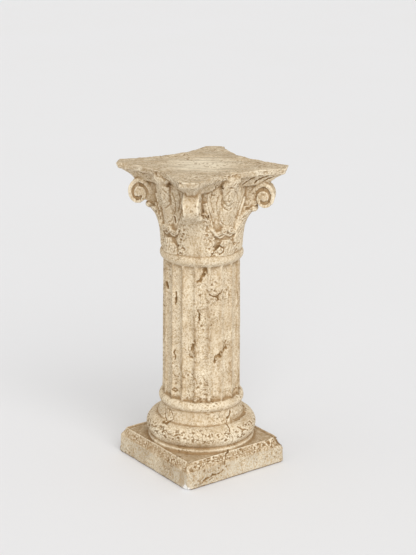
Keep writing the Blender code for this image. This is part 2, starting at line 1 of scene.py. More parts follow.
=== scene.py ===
"""A decorative Corinthian pedestal, cast in plaster and antiqued with a brown wash, on a plain studio floor.

The casting is built as closed forms that overlap: plinth, turned base, fluted shaft, carved bell, corner
volutes and abacus. They are fused into one fine mesh. Wear, pits, cracks and chips are then worked into
that mesh, and it is thinned out again. How deep, how worn and how broken each place is goes to the material
as attributes. Lengths are in metres, +Z is up, and the corners of the abacus lie on the diagonals.
"""

import math

import bpy
import numpy as np
from mathutils import Matrix, Vector
from mathutils.bvhtree import BVHTree


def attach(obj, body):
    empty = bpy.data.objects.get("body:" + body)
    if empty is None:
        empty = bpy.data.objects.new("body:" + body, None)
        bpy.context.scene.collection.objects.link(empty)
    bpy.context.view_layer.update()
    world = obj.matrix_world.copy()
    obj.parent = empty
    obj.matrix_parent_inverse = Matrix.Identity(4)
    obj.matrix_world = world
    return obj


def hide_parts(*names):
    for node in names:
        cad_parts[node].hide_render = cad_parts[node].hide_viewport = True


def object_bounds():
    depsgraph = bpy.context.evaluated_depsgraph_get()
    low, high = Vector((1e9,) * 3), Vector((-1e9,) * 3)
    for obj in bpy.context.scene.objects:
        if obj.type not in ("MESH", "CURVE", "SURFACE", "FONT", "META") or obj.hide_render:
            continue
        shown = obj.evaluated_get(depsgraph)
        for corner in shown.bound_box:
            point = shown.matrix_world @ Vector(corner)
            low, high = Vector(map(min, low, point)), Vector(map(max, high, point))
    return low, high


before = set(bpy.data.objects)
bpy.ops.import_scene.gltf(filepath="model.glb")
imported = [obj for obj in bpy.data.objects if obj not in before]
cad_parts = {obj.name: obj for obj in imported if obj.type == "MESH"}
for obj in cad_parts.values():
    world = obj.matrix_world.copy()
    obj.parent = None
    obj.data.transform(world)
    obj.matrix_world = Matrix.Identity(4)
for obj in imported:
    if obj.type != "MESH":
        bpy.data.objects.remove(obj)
cad_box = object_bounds()

# Heights of the courses, from the floor up.
PLINTH_FACE_HEIGHT = 0.0437
PLINTH_BEVEL_HEIGHT = 0.0193
FOOT_FILLET_HEIGHT = 0.0045
LOWER_TORUS_HEIGHT = 0.0495
SCOTIA_HEIGHT = 0.031
UPPER_TORUS_HEIGHT = 0.022
SHAFT_HEIGHT = 0.317
ASTRAGAL_HEIGHT = 0.023
BELL_HEIGHT = 0.153
ABACUS_HEIGHT = 0.037

PLINTH_TOP = PLINTH_FACE_HEIGHT + PLINTH_BEVEL_HEIGHT
LOWER_TORUS_FOOT = PLINTH_TOP + FOOT_FILLET_HEIGHT
SCOTIA_FOOT = LOWER_TORUS_FOOT + LOWER_TORUS_HEIGHT
UPPER_TORUS_FOOT = SCOTIA_FOOT + SCOTIA_HEIGHT
SHAFT_FOOT = UPPER_TORUS_FOOT + UPPER_TORUS_HEIGHT
ASTRAGAL_FOOT = SHAFT_FOOT + SHAFT_HEIGHT
BELL_FOOT = ASTRAGAL_FOOT + ASTRAGAL_HEIGHT
ABACUS_FOOT = BELL_FOOT + BELL_HEIGHT
TOP = ABACUS_FOOT + ABACUS_HEIGHT

# Plinth and turned base.
PLINTH_HALF_SIDE = 0.1365
PLINTH_DRAFT = 0.0012
PLINTH_BEVEL_INSET = 0.010
PLINTH_GUTTER_WIDTH = 0.012
PLINTH_GUTTER_DEPTH = 0.0042
PLINTH_GUTTER_BANK = 0.3
PLINTH_GUTTER_END = 0.7
PLINTH_FOOT_SETBACK = 0.0030
PLINTH_FOOT_HEIGHT = 0.0030
PLINTH_CREST = PLINTH_HALF_SIDE - PLINTH_DRAFT - PLINTH_BEVEL_INSET
FOOT_FILLET_RADIUS = 0.1225
LOWER_TORUS_RADIUS = 0.1265
LOWER_TORUS_BULGE = 0.024
LOWER_TORUS_START = -56.0
SCOTIA_LIP_RADIUS = 0.1000
SCOTIA_LIP_HEIGHT = 0.004
SCOTIA_NECK_RADIUS = 0.0915
UPPER_TORUS_RADIUS = 0.0975
UPPER_TORUS_BULGE = 0.009
UPPER_TORUS_START = -72.0
TORUS_END = 84.0

# Fluted shaft and astragal.
SHAFT_FOOT_RADIUS = 0.0892
SHAFT_HEAD_RADIUS = 0.0862
FLUTE_COUNT = 18
FLUTE_SPACING = 2.0 * math.pi / FLUTE_COUNT
FLUTE_DEPTH = 0.0055
FLUTE_HEAD_FADE = 0.007
ARRIS_SHARE = 0.14
ASTRAGAL_RADIUS = 0.0938
ASTRAGAL_BULGE = 0.006
ASTRAGAL_START = -66.0
ASTRAGAL_FLARE_HEIGHT = 0.003

# Bell.
BELL_FOOT_RADIUS = 0.0855
BELL_WAIST_RADIUS = 0.0885
BELL_WAIST_HEIGHT = 0.070
BELL_LIP_RADIUS = 0.1010

# Leaves.
CORNER_LEAF_HEIGHT = 0.0950
LEAF_EDGE_DROP = 0.0026
LEAF_LOBE_DEPTH = 0.09
LEAF_TIP_START = 0.45
LEAF_FLARE_POWER = 4
LEAF_FLARE_EDGE = 0.4
LEAF_GROOVE_DEPTH = 0.0014
LEAF_GROOVE_RISE = 0.30
LEAF_GROOVE_START = 0.45
LEAF_GROOVE_FULL = 0.8
LEAF_FOOT_RELIEF = 0.6
LEAF_FOOT_RISE = 0.12
CORNER_LEAF_HALF_ANGLE = math.radians(29.0)
CORNER_LEAF_TIP_SPREAD = 0.60
CORNER_LEAF_RELIEF = 0.0062
CORNER_LEAF_FLARE = 0.026
CORNER_LEAF_LOBES = 4
LEAF_ROLL_RADIUS = 0.0078
LEAF_ROLL_HALF_WIDTH = 0.019
LEAF_ROLL_TUCK = 0.0050
LEAF_ROLL_BOW = 0.004
LEAF_ROLL_END_DRAW = 0.5
LEAF_ROLL_RIPPLE = 0.06
FACE_LEAF_HEIGHT = 0.037
FACE_LEAF_HALF_ANGLE = math.radians(17.0)
FACE_LEAF_RELIEF = 0.0078
FACE_LEAF_FLARE = 0.003
FACE_LEAF_LOBES = 3
FACE_LEAF_TIP_SPREAD = 0.42

# Lyre of each face.
CURL_HEIGHT = 0.058
CURL_RADIUS = 0.0072
CURL_PROUD = 0.0105
CURL_PROFILE = ((0.75, 1.0), (1.0, 0.82), (0.95, 0.62), (0.68, 0.52), (0.70, 0.34), (0.95, 0.24))
SIDE_CURL_HEIGHT = 0.096
SIDE_CURL_RADIUS = 0.0070
SIDE_CURL_PROUD = 0.0125
SIDE_CURL_OFFSET_ANGLE = math.radians(11.5)
CURL_OFFSET_ANGLE = math.radians(5.2)
LYRE_HALF_WIDTH = 0.0052
LYRE_PROUD = 0.0058
LYRE_ROOT = 0.6
LYRE_DIP = 0.0065
LYRE_DIP_END = 0.45
LYRE_SPREAD_POWER = 0.50
LYRE_CLIMB_POWER = 1.6
LYRE_HEAD_HEIGHT = 0.124
LYRE_HEAD_ANGLE = math.radians(33.0)
LYRE_SECTION = ((-1.0, 0.55), (-0.72, 0.9), (-0.35, 1.0), (0.0, 0.82), (0.35, 1.0), (0.72, 0.9), (1.0, 0.55))
PETAL_HEIGHT = 0.062
PETAL_HALF_ANGLE = math.radians(12.0)
PETAL_RELIEF = 0.0068
PETAL_EDGE_FALL = 0.6
PETAL_FOOT_PHASE = 0.45
PETAL_HEAD_PHASE = 2.5
HUSK_FOOT = 0.104
HUSK_HALF_ANGLE = math.radians(12.5)
HUSK_RELIEF = 0.0105
HUSK_TIP_SPREAD = 0.12
HUSK_SPREAD_POWER = 0.7
HUSK_TIP_SWELL = 0.75
HUSK_ROOT_SWELL = 1.5
HUSK_EDGE_FALL = 0.55

# Corner volutes.
VOLUTE_REACH = 0.1393
VOLUTE_HALF_WIDTH_OUT = 0.0295
VOLUTE_HALF_HEIGHT = 0.0342
VOLUTE_CENTRE_HEIGHT = 0.6308
VOLUTE_TURNS = 1.38
VOLUTE_SHRINK = 0.30
VOLUTE_CHEEK_HALF_WIDTH = 0.0138
VOLUTE_EYE_RADIUS = 0.0082
VOLUTE_EYE_SECTION = ((-1.04, 0.55), (-0.98, 1.0), (0.98, 1.0), (1.04, 0.55))
RIBBON_HALF_WIDTH = 0.0180
RIBBON_THICKNESS = 0.0095
RIBBON_END_THICKNESS = 0.0050
RIBBON_CANAL = 0.0010
RIBBON_CANAL_HALF_WIDTH = 0.65
RIBBON_SECTION = (
    (-1.0, -0.5), (-1.0, 0.3), (-0.9, 0.5), (-0.75, 0.5), (-0.6, 0.5), (0.0, 0.5),
    (0.6, 0.5), (0.75, 0.5), (0.9, 0.5), (1.0, 0.3), (1.0, -0.5))
RIBBON_STEM_HALF_WIDTH = 0.0110
RIBBON_STEM_HEIGHT = 0.066
RIBBON_STEM_LEAN = 0.008
RIBBON_LIFT = 0.62
RIBBON_LEAD = 0.55
RIBBON_FULL_WIDTH_AT = 0.9
WEB_ROOT_HALF_WIDTH = 0.0165
WEB_HEAD_HALF_WIDTH = 0.0100
WEB_FOOT = 0.85
WEB_KNEE = (-0.72, -0.55)
WEB_TIP = (0.0, -0.3)
WEB_HEAD = 0.4

# Abacus.
ABACUS_CORNER_REACH = 0.1898
ABACUS_SIDE_REACH = 0.1210
ABACUS_SIDE_HOLLOW_RADIUS = 0.2510
ABACUS_FASCIA_HEIGHT = 0.0145
ABACUS_FASCIA_SLOPE = 0.0052
ABACUS_STEP = 0.0040
ABACUS_STEP_DROP = 0.0006
ABACUS_UNDERCUT = 0.0185
ABACUS_UNDERCUT_SAG = 0.0022
ABACUS_CORNER_TAPER = 0.55
FLOWER_HALF_WIDTH = 0.0195
FLOWER_HALF_HEIGHT = 0.0165
FLOWER_PROUD = 0.0012
FLOWER_DROP = 0.30
FLOWER_ROOT = 0.024
FLOWER_ROOT_SPREAD = 0.75
FLOWER_PETALS = 5
FLOWER_PETAL_DEPTH = 0.22
FLOWER_CAP_ANGLE = 82.0

# How far one form reaches into the next.
SEAT = 0.004

# Mesh.
ROUND_SEGMENTS = 216
VOXEL = 0.00125
MOST_TRIANGLES = 192000
BOX_MARGIN = 0.00005

# Carving, scars, stains and chips are drawn in millimetres.
MILLIMETRE = 0.001

CORNER_ANGLES = [math.radians(45.0 + 90.0 * quarter) for quarter in range(4)]
FACE_ANGLES = [math.radians(90.0 * quarter) for quarter in range(4)]
UP = Vector((0.0, 0.0, 1.0))


def mix(start, end, share):
    return start + (end - start) * share


def smooth_step(value, low, high):
    """0 below low, 1 above high and a soft S between, for a number or an array."""
    share = np.clip((value - low) / (high - low), 0.0, 1.0)
    return share * share * (3.0 - 2.0 * share)


def band(value, low, full, fall, end):
    """1 between full and fall, and 0 below low and above end."""
    return smooth_step(value, low, full) * (1.0 - smooth_step(value, fall, end))


def shares(steps):
    """The numbers from 0 to 1 in equal steps."""
    return [step / steps for step in range(steps + 1)]


# Closed forms. Each is a pair: a list of points and a list of faces.

def skin(rings):
    """A closed form skinned over rings of equal length, with flat ends."""
    count = len(rings[0])
    points = [tuple(point) for ring in rings for point in ring]
    faces = []
    for level in range(len(rings) - 1):
        for here in range(count):
            there = (here + 1) % count
            low = level * count
            faces.append((low + here, low + there, low + count + there, low + count + here))
    faces.append(tuple(reversed(range(count))))
    faces.append(tuple(range(len(points) - count, len(points))))
    return points, faces


def moved(form, matrix):
    points, faces = form
    return [tuple(matrix @ Vector(point)) for point in points], faces


def turned(profile, segments=ROUND_SEGMENTS):
    """A form turned about Z from (radius, height) points that run upward."""
    rings = []
    for radius, height in profile:
        ring = []
        for segment in range(segments):
            angle = 2.0 * math.pi * segment / segments
            ring.append((radius * math.cos(angle), radius * math.sin(angle), height))
        rings.append(ring)
    return skin(rings)


def ellipse_arc(centre, half_width, half_height, start, end, steps):
    points = []
    for share in shares(steps):
        angle = math.radians(mix(start, end, share))
        points.append((centre[0] + half_width * math.cos(angle), centre[1] + half_height * math.sin(angle)))
    return points


def torus_arc(radius, bulge, foot, height, start, steps=16):
    """The round of a torus whose foot and height are given, from a start angle almost to its top."""
    return ellipse_arc((radius - bulge, foot + height / 2.0), bulge, height / 2.0, start, TORUS_END, steps)


def square_ring(half_side, height):
    return [
        (half_side, half_side, height),
        (-half_side, half_side, height),
        (-half_side, -half_side, height),
        (half_side, -half_side, height),
    ]


def plinth():
    gutter_start = PLINTH_CREST - PLINTH_GUTTER_WIDTH * PLINTH_GUTTER_BANK
    end_depth = PLINTH_GUTTER_DEPTH * PLINTH_GUTTER_END
    return skin([
        square_ring(PLINTH_HALF_SIDE - PLINTH_FOOT_SETBACK, 0.0),
        square_ring(PLINTH_HALF_SIDE, PLINTH_FOOT_HEIGHT),
        square_ring(PLINTH_HALF_SIDE - PLINTH_DRAFT, PLINTH_FACE_HEIGHT),
        square_ring(PLINTH_CREST, PLINTH_TOP),
        square_ring(gutter_start, PLINTH_TOP - PLINTH_GUTTER_DEPTH),
        square_ring(PLINTH_CREST - PLINTH_GUTTER_WIDTH, PLINTH_TOP - end_depth),
    ])


def base_mouldings():
    """Foot fillet, lower torus, scotia and upper torus, turned in one profile."""
    lip_top = SCOTIA_FOOT + SCOTIA_LIP_HEIGHT
    hollow_depth = SCOTIA_LIP_RADIUS - SCOTIA_NECK_RADIUS
    profile = [(FOOT_FILLET_RADIUS, PLINTH_TOP - SEAT), (FOOT_FILLET_RADIUS, LOWER_TORUS_FOOT)]
    profile += torus_arc(LOWER_TORUS_RADIUS, LOWER_TORUS_BULGE, LOWER_TORUS_FOOT, LOWER_TORUS_HEIGHT,
                         LOWER_TORUS_START)
    profile += [(SCOTIA_LIP_RADIUS, SCOTIA_FOOT), (SCOTIA_LIP_RADIUS, lip_top)]
    for share in shares(10)[1:]:
        radius = SCOTIA_LIP_RADIUS - hollow_depth * math.sin(share * math.pi / 2.0)
        profile.append((radius, mix(lip_top, UPPER_TORUS_FOOT, share)))
    profile += torus_arc(UPPER_TORUS_RADIUS, UPPER_TORUS_BULGE, UPPER_TORUS_FOOT, UPPER_TORUS_HEIGHT,
                         UPPER_TORUS_START)
    return turned(profile)


def shaft_ring(height, depth, steps_per_flute=16):
    """One ring of the shaft: round hollows of the given depth between narrow arrises."""
    ring = []
    steps = FLUTE_COUNT * steps_per_flute
    first = CORNER_ANGLES[0] - math.pi / FLUTE_COUNT
    full = mix(SHAFT_FOOT_RADIUS, SHAFT_HEAD_RADIUS, (height - SHAFT_FOOT) / SHAFT_HEIGHT)
    for step in range(steps):
        across = (2.0 * (step % steps_per_flute) / steps_per_flute - 1.0) / (1.0 - ARRIS_SHARE)
        hollow = math.sqrt(max(1.0 - across * across, 0.0))
        radius = full - depth * hollow
        angle = first + 2.0 * math.pi * step / steps
        ring.append((radius * math.cos(angle), radius * math.sin(angle), height))
    return ring


def fluted_shaft():
    rings = [shaft_ring(SHAFT_FOOT - UPPER_TORUS_HEIGHT / 2.0, FLUTE_DEPTH)]
    fade_foot = ASTRAGAL_FOOT - FLUTE_HEAD_FADE
    for share in shares(6):
        depth = FLUTE_DEPTH * math.sqrt(max(1.0 - share * share, 0.0))
        rings.append(shaft_ring(mix(fade_foot, ASTRAGAL_FOOT, share), depth))
    rings.append(shaft_ring(ASTRAGAL_FOOT + SEAT, 0.0))
    return skin(rings)


def bell_radius(height):
    """The radius of the bell behind the leaves, by the height above its foot."""
    to_waist = min(max(height / BELL_WAIST_HEIGHT, 0.0), 1.0)
    to_lip = float(smooth_step(height, BELL_WAIST_HEIGHT, BELL_HEIGHT))
    return mix(mix(BELL_FOOT_RADIUS, BELL_WAIST_RADIUS, to_waist), BELL_LIP_RADIUS, to_lip)


def on_bell(proud, angle, height):
    radius = bell_radius(height) + proud
    return Vector((radius * math.cos(angle), radius * math.sin(angle), BELL_FOOT + height))


def capital_core():
    """The astragal and the plain bell above it, from inside the shaft to inside the abacus."""
    round_foot = ASTRAGAL_FOOT + ASTRAGAL_FLARE_HEIGHT
    root = SHAFT_HEAD_RADIUS - 2.0 * FLUTE_DEPTH
    profile = [(root, ASTRAGAL_FOOT - SEAT), (SHAFT_HEAD_RADIUS, ASTRAGAL_FOOT)]
    profile += torus_arc(ASTRAGAL_RADIUS, ASTRAGAL_BULGE, round_foot, BELL_FOOT - round_foot, ASTRAGAL_START)
    for share in shares(24):
        height = mix(SEAT / 2.0, BELL_HEIGHT + SEAT, share)
        profile.append((bell_radius(height), BELL_FOOT + height))
    return turned(profile)


def leaf_half_angle(share, half_angle, tip_spread, lobes):
    """Half the leaf's spread at a share of its height: shallow lobes that draw in to a blunt tip."""
    notched = 1.0 - LEAF_LOBE_DEPTH * abs(math.cos(share * math.pi * lobes)) ** 3
    return half_angle * notched * mix(1.0, tip_spread, float(smooth_step(share, LEAF_TIP_START, 1.0)))


def leaf_relief(share, across, relief, lobes):
    """How far a leaf stands proud: a domed blade whose sides are grooved between the lobes."""
    out = abs(across)
    along = lobes * (share - LEAF_GROOVE_RISE * out)
    groove = abs(math.cos(math.pi * along)) ** 6
    side = float(smooth_step(out, LEAF_GROOVE_START, LEAF_GROOVE_FULL))
    return relief - LEAF_EDGE_DROP * out ** 2 - side * LEAF_GROOVE_DEPTH * groove


def blade(direction, rows, steps_across=24):
    """A form that lies on the bell, from (height, half angle, function of proudness across) rows."""
    rings = []
    for level, half_spread, proud in rows:
        outer = []
        inner = []
        for column in range(-steps_across, steps_across + 1):
            across = column / steps_across
            angle = direction + across * half_spread
            outer.append(on_bell(proud(across), angle, level))
            inner.append(on_bell(-SEAT, angle, level))
        rings.append(outer + list(reversed(inner)))
    return skin(rings)


def leaf(direction, height, half_angle, tip_spread, relief, flare, lobes):
    """A leaf that rises from the bell's foot and bends out towards its tip."""
    rows = []
    for share in shares(12 * lobes):
        seated = mix(LEAF_FOOT_RELIEF, 1.0, float(smooth_step(share, 0.0, LEAF_FOOT_RISE)))
        bend = flare * share ** LEAF_FLARE_POWER

        def proud(across, share=share, seated=seated, bend=bend):
            bent = bend * (1.0 - LEAF_FLARE_EDGE * across ** 2)
            return seated * leaf_relief(share, across, relief, lobes) + bent

        half_spread = leaf_half_angle(share, half_angle, tip_spread, lobes)
        rows.append((mix(-SEAT / 2.0, height, share), half_spread, proud))
    return blade(direction, rows)


def petal(direction):
    """The smooth petal above the scrolls, widest at its middle."""
    rows = []
    for share in shares(20):
        half_spread = PETAL_HALF_ANGLE * math.sin(mix(PETAL_FOOT_PHASE, PETAL_HEAD_PHASE, share))
        level = CURL_HEIGHT + PETAL_HEIGHT * share
        rows.append((level, half_spread, lambda across: PETAL_RELIEF * (1.0 - PETAL_EDGE_FALL * across ** 2)))
    return blade(direction, rows)


def husk(direction):
    """The pointed husk that hangs from under the abacus flower, with its tip on the petal."""
    rows = []
    for share in shares(20):
        half_spread = HUSK_HALF_ANGLE * mix(HUSK_TIP_SPREAD, 1.0, share ** HUSK_SPREAD_POWER)
        swell = HUSK_RELIEF * mix(HUSK_TIP_SWELL, HUSK_ROOT_SWELL, share * share)

        def proud(across, swell=swell):
            return swell * (1.0 - HUSK_EDGE_FALL * across ** 2)

        rows.append((mix(HUSK_FOOT, BELL_HEIGHT + SEAT / 2.0, share), half_spread, proud))
    return blade(direction, rows)


def disc_ring(middle, outward, radius, steps=24):
    """A circle of points about a middle, square to the outward direction."""
    side = UP.cross(outward)
    ring = []
    for step in range(steps):
        angle = 2.0 * math.pi * step / steps
        ring.append(middle + side * (radius * math.cos(angle)) + UP * (radius * math.sin(angle)))
    return ring


def curl(direction, height, radius, proud):
    """A small round scroll that stands straight out of the bell, with a hollow round its eye."""
    core = bell_radius(height)
    outward = Vector((math.cos(direction), math.sin(direction), 0.0))
    middle = UP * (BELL_FOOT + height)
    rings = [disc_ring(middle + outward * (core - SEAT), outward, radius)]
    for stand, size in CURL_PROFILE:
        rings.append(disc_ring(middle + outward * (core + proud * stand), outward, radius * size))
    return skin(rings)


def lyre_station(direction, side, share):
    """The angle and height of a lyre stem at a share of its run."""
    spread = side * mix(CURL_OFFSET_ANGLE, LYRE_HEAD_ANGLE, share ** LYRE_SPREAD_POWER)
    dip = LYRE_DIP * math.sin(min(share / LYRE_DIP_END, 1.0) * math.pi)
    level = mix(CURL_HEIGHT - CURL_RADIUS * LYRE_ROOT, LYRE_HEAD_HEIGHT, share ** LYRE_CLIMB_POWER) - dip
    return direction + spread, level


def lyre_stem(direction, side):
    """One of the two stems that start at the scrolls, dip, spread and climb to the volutes."""
    steps = 30
    stations = [lyre_station(direction, side, share) for share in shares(steps)]
    section = [(across, proud * LYRE_PROUD) for across, proud in LYRE_SECTION]
    rings = []
    for index, (angle, level) in enumerate(stations):
        before = stations[max(index - 1, 0)]
        after = stations[min(index + 1, steps)]
        core = bell_radius(level)
        run = Vector(((after[0] - before[0]) * core, after[1] - before[1])).normalized()
        ring = []
        for across, stand in [(-1.0, -SEAT), *section, (1.0, -SEAT)]:
            offset = across * LYRE_HALF_WIDTH
            ring.append(on_bell(stand, angle + run.y * offset / core, level - run.x * offset))
        rings.append(ring)
    return skin(rings)


def ribbon_stem():
    """Where the ribbon climbs from the bell to the top of the volute: (point, half width) pairs."""
    foot = Vector((bell_radius(RIBBON_STEM_HEIGHT) + CORNER_LEAF_RELIEF, BELL_FOOT + RIBBON_STEM_HEIGHT))
    top = Vector((VOLUTE_REACH, VOLUTE_CENTRE_HEIGHT + VOLUTE_HALF_HEIGHT - RIBBON_THICKNESS / 2.0))
    lift = Vector((foot.x + RIBBON_STEM_LEAN, mix(foot.y, top.y, RIBBON_LIFT)))
    lead = Vector((mix(foot.x, top.x, RIBBON_LEAD), top.y))
    stem = []
    for share in shares(18)[:-1]:
        rest = 1.0 - share
        point = foot * rest ** 3 + lift * (3.0 * rest ** 2 * share) + lead * (3.0 * rest * share ** 2)
        point += top * share ** 3
        widened = float(smooth_step(share, 0.0, RIBBON_FULL_WIDTH_AT))
        stem.append((point, mix(RIBBON_STEM_HALF_WIDTH, RIBBON_HALF_WIDTH, widened)))
    return stem


def ribbon_spiral():
    """The centre line of the ribbon from the top of the volute in to the eye."""
    half_width = VOLUTE_HALF_WIDTH_OUT - RIBBON_THICKNESS / 2.0
    half_height = VOLUTE_HALF_HEIGHT - RIBBON_THICKNESS / 2.0
    points = []
    for share in shares(round(56 * VOLUTE_TURNS)):
        angle = math.pi / 2.0 - share * VOLUTE_TURNS * 2.0 * math.pi
        size = VOLUTE_SHRINK ** share
        points.append(Vector((
            VOLUTE_REACH + half_width * size * math.cos(angle),
            VOLUTE_CENTRE_HEIGHT + half_height * size * math.sin(angle),
        )))
    return points


def volute_ribbon():
    """The ribbon that climbs from the bell, turns over at the top and winds in to the eye."""
    stem = ribbon_stem()
    spiral = ribbon_spiral()
    path = [point for point, width in stem] + spiral
    widths = [width for point, width in stem] + [RIBBON_HALF_WIDTH] * len(spiral)
    rings = []
    for index, point in enumerate(path):
        before = path[max(index - 1, 0)]
        after = path[min(index + 1, len(path) - 1)]
        along = (after - before).normalized()
        wound = max(index - len(stem), 0) / (len(spiral) - 1)
        thickness = mix(RIBBON_THICKNESS, RIBBON_END_THICKNESS, wound)
        side = Vector((-along.y, along.x))
        width = widths[index]
        ring = []
        for across, rise in RIBBON_SECTION:
            lift = rise * thickness
            if abs(across) < RIBBON_CANAL_HALF_WIDTH:
                lift -= RIBBON_CANAL
            spot = point + side * lift
            ring.append((spot.x, across * width, spot.y))
        rings.append(ring)
    return skin(rings)


def extruded(outline, half_width):
    return skin([[(x, side, z) for x, z in outline] for side in (-half_width, half_width)])


def volute_cheeks():
    """The flat drum between the turns of the ribbon: the first turn of the spiral, filled."""
    spiral = ribbon_spiral()
    first_turn = spiral[:round((len(spiral) - 1) / VOLUTE_TURNS)]
    outline = [(point.x, point.y) for point in reversed(first_turn)]
    return extruded(outline, VOLUTE_CHEEK_HALF_WIDTH)


def volute_eye():
    rings = []
    for side, size in VOLUTE_EYE_SECTION:
        radius = VOLUTE_EYE_RADIUS * size
        outline = ellipse_arc((VOLUTE_REACH, VOLUTE_CENTRE_HEIGHT), radius, radius, 0.0, 360.0, 20)[:-1]
        rings.append([(x, side * RIBBON_HALF_WIDTH, z) for x, z in outline])
    return skin(rings)


def volute_web():
    """The plaster left between the ribbon, the bell and the abacus."""
    back = BELL_WAIST_RADIUS - SEAT
    roof = ABACUS_FOOT + 2.0 * SEAT
    outline = [(back, BELL_FOOT + CORNER_LEAF_HEIGHT * WEB_FOOT)]
    for outward, upward in (WEB_KNEE, WEB_TIP):
        outline.append((
            VOLUTE_REACH + VOLUTE_HALF_WIDTH_OUT * outward,
            VOLUTE_CENTRE_HEIGHT + VOLUTE_HALF_HEIGHT * upward,
        ))
    head = VOLUTE_REACH + VOLUTE_HALF_WIDTH_OUT * WEB_HEAD
    outline += [(head, roof), (back, roof)]
    rings = []
    for side in (-1.0, 1.0):
        ring = []
        for x, z in outline:
            width = mix(WEB_ROOT_HALF_WIDTH, WEB_HEAD_HALF_WIDTH, (x - back) / (head - back))
            ring.append((x, side * width, z))
        rings.append(ring)
    return skin(rings)


def leaf_roll():
    """The rolled tip of a corner leaf, which carries the underside of the volute."""
    tip = bell_radius(CORNER_LEAF_HEIGHT) + CORNER_LEAF_RELIEF + CORNER_LEAF_FLARE
    centre = (tip - LEAF_ROLL_TUCK, BELL_FOOT + CORNER_LEAF_HEIGHT)
    rings = []
    for share in shares(16):
        side = 2.0 * share - 1.0
        swell = 1.0 - LEAF_ROLL_END_DRAW * side ** 4 + LEAF_ROLL_RIPPLE * math.cos(side * math.pi * 5.0)
        radius = LEAF_ROLL_RADIUS * swell
        middle = (centre[0] - LEAF_ROLL_BOW * side * side, centre[1])
        outline = ellipse_arc(middle, radius, radius, 0.0, 360.0, 20)[:-1]
        rings.append([(x, side * LEAF_ROLL_HALF_WIDTH, z) for x, z in outline])
    return skin(rings)


def abacus_outline(inset, side_steps=60):
    """The plan of the abacus, drawn in by inset: four hollow sides and four cut corners."""
    hollow = ABACUS_SIDE_HOLLOW_RADIUS + inset
    arc_centre = ABACUS_SIDE_REACH + ABACUS_SIDE_HOLLOW_RADIUS
    undercut = max(inset - ABACUS_FASCIA_SLOPE - ABACUS_STEP, 0.0)
    corner_reach = ABACUS_CORNER_REACH - inset - ABACUS_CORNER_TAPER * undercut
    offset = corner_reach * math.sqrt(2.0) - arc_centre
    half_chord = (offset + math.sqrt(2.0 * hollow * hollow - offset * offset)) / 2.0
    spread = math.asin(half_chord / hollow)
    side = []
    for share in shares(side_steps):
        angle = mix(-spread, spread, share)
        side.append(Vector((arc_centre - hollow * math.cos(angle), hollow * math.sin(angle), 0.0)))
    outline = []
    for angle in FACE_ANGLES:
        outline += [Matrix.Rotation(angle, 3, "Z") @ point for point in side]
    return outline


def abacus():
    """A slab with a sloped fascia, a small step and a hollow underside."""
    fascia_foot = TOP - ABACUS_FASCIA_HEIGHT
    step_inset = ABACUS_FASCIA_SLOPE + ABACUS_STEP
    foot_inset = step_inset + ABACUS_UNDERCUT
    levels = [(foot_inset + SEAT, ABACUS_FOOT - SEAT)]
    for share in shares(10):
        sag = ABACUS_UNDERCUT_SAG * math.sin(share * math.pi)
        height = mix(ABACUS_FOOT, fascia_foot - ABACUS_STEP_DROP, share)
        levels.append((mix(foot_inset, step_inset, share) + sag, height))
    levels += [(ABACUS_FASCIA_SLOPE, fascia_foot), (0.0, TOP)]
    return skin([[(point.x, point.y, height) for point in abacus_outline(inset)] for inset, height in levels])


def abacus_flower(direction):
    """A worn rosette in the middle of one side of the abacus."""
    depth = FLOWER_PROUD + ABACUS_FASCIA_SLOPE
    rings = []
    for share in shares(16):
        lift = math.radians(mix(-FLOWER_CAP_ANGLE, FLOWER_CAP_ANGLE, share))
        ring = []
        for turn in range(32):
            angle = 2.0 * math.pi * turn / 32
            across = math.cos(lift)
            sideways = across * math.sin(angle)
            upward = math.sin(lift)
            round_eye = math.hypot(sideways, upward)
            petals = math.cos(FLOWER_PETALS * math.atan2(upward, sideways)) * min(round_eye, 1.0)
            size = 1.0 - FLOWER_PETAL_DEPTH * (0.5 - 0.5 * petals) * round_eye
            inward = max(-math.cos(angle), 0.0)
            reach = FLOWER_ROOT if inward > 0.0 else depth
            size *= 1.0 + FLOWER_ROOT_SPREAD * math.sqrt(inward)
            ring.append((reach * across * math.cos(angle), FLOWER_HALF_WIDTH * sideways * size,
                         FLOWER_HALF_HEIGHT * upward * size))
        rings.append(ring)
    reach = ABACUS_SIDE_REACH - ABACUS_FASCIA_SLOPE
    height = TOP - ABACUS_FASCIA_HEIGHT - FLOWER_HALF_HEIGHT * FLOWER_DROP
    place = Matrix.Rotation(direction, 4, "Z") @ Matrix.Translation((reach, 0.0, height))
    return moved(skin(rings), place)


def all_forms():
    forms = [plinth(), base_mouldings(), fluted_shaft(), capital_core()]
    for direction in CORNER_ANGLES:
        forms.append(leaf(
            direction, CORNER_LEAF_HEIGHT, CORNER_LEAF_HALF_ANGLE, CORNER_LEAF_TIP_SPREAD, CORNER_LEAF_RELIEF,
            CORNER_LEAF_FLARE, CORNER_LEAF_LOBES))
        for make in (volute_web, volute_cheeks, volute_ribbon, volute_eye, leaf_roll):
            forms.append(moved(make(), Matrix.Rotation(direction, 4, "Z")))
        for side in (-1.0, 1.0):
            turn = direction + side * SIDE_CURL_OFFSET_ANGLE
            forms.append(curl(turn, SIDE_CURL_HEIGHT, SIDE_CURL_RADIUS, SIDE_CURL_PROUD))
    for direction in FACE_ANGLES:
        forms.append(leaf(
            direction, FACE_LEAF_HEIGHT, FACE_LEAF_HALF_ANGLE, FACE_LEAF_TIP_SPREAD, FACE_LEAF_RELIEF,
            FACE_LEAF_FLARE, FACE_LEAF_LOBES))
        forms += [petal(direction), husk(direction), abacus_flower(direction)]
        for side in (-1.0, 1.0):
            forms.append(curl(direction + side * CURL_OFFSET_ANGLE, CURL_HEIGHT, CURL_RADIUS, CURL_PROUD))
            forms.append(lyre_stem(direction, side))
    forms.append(abacus())
    return forms


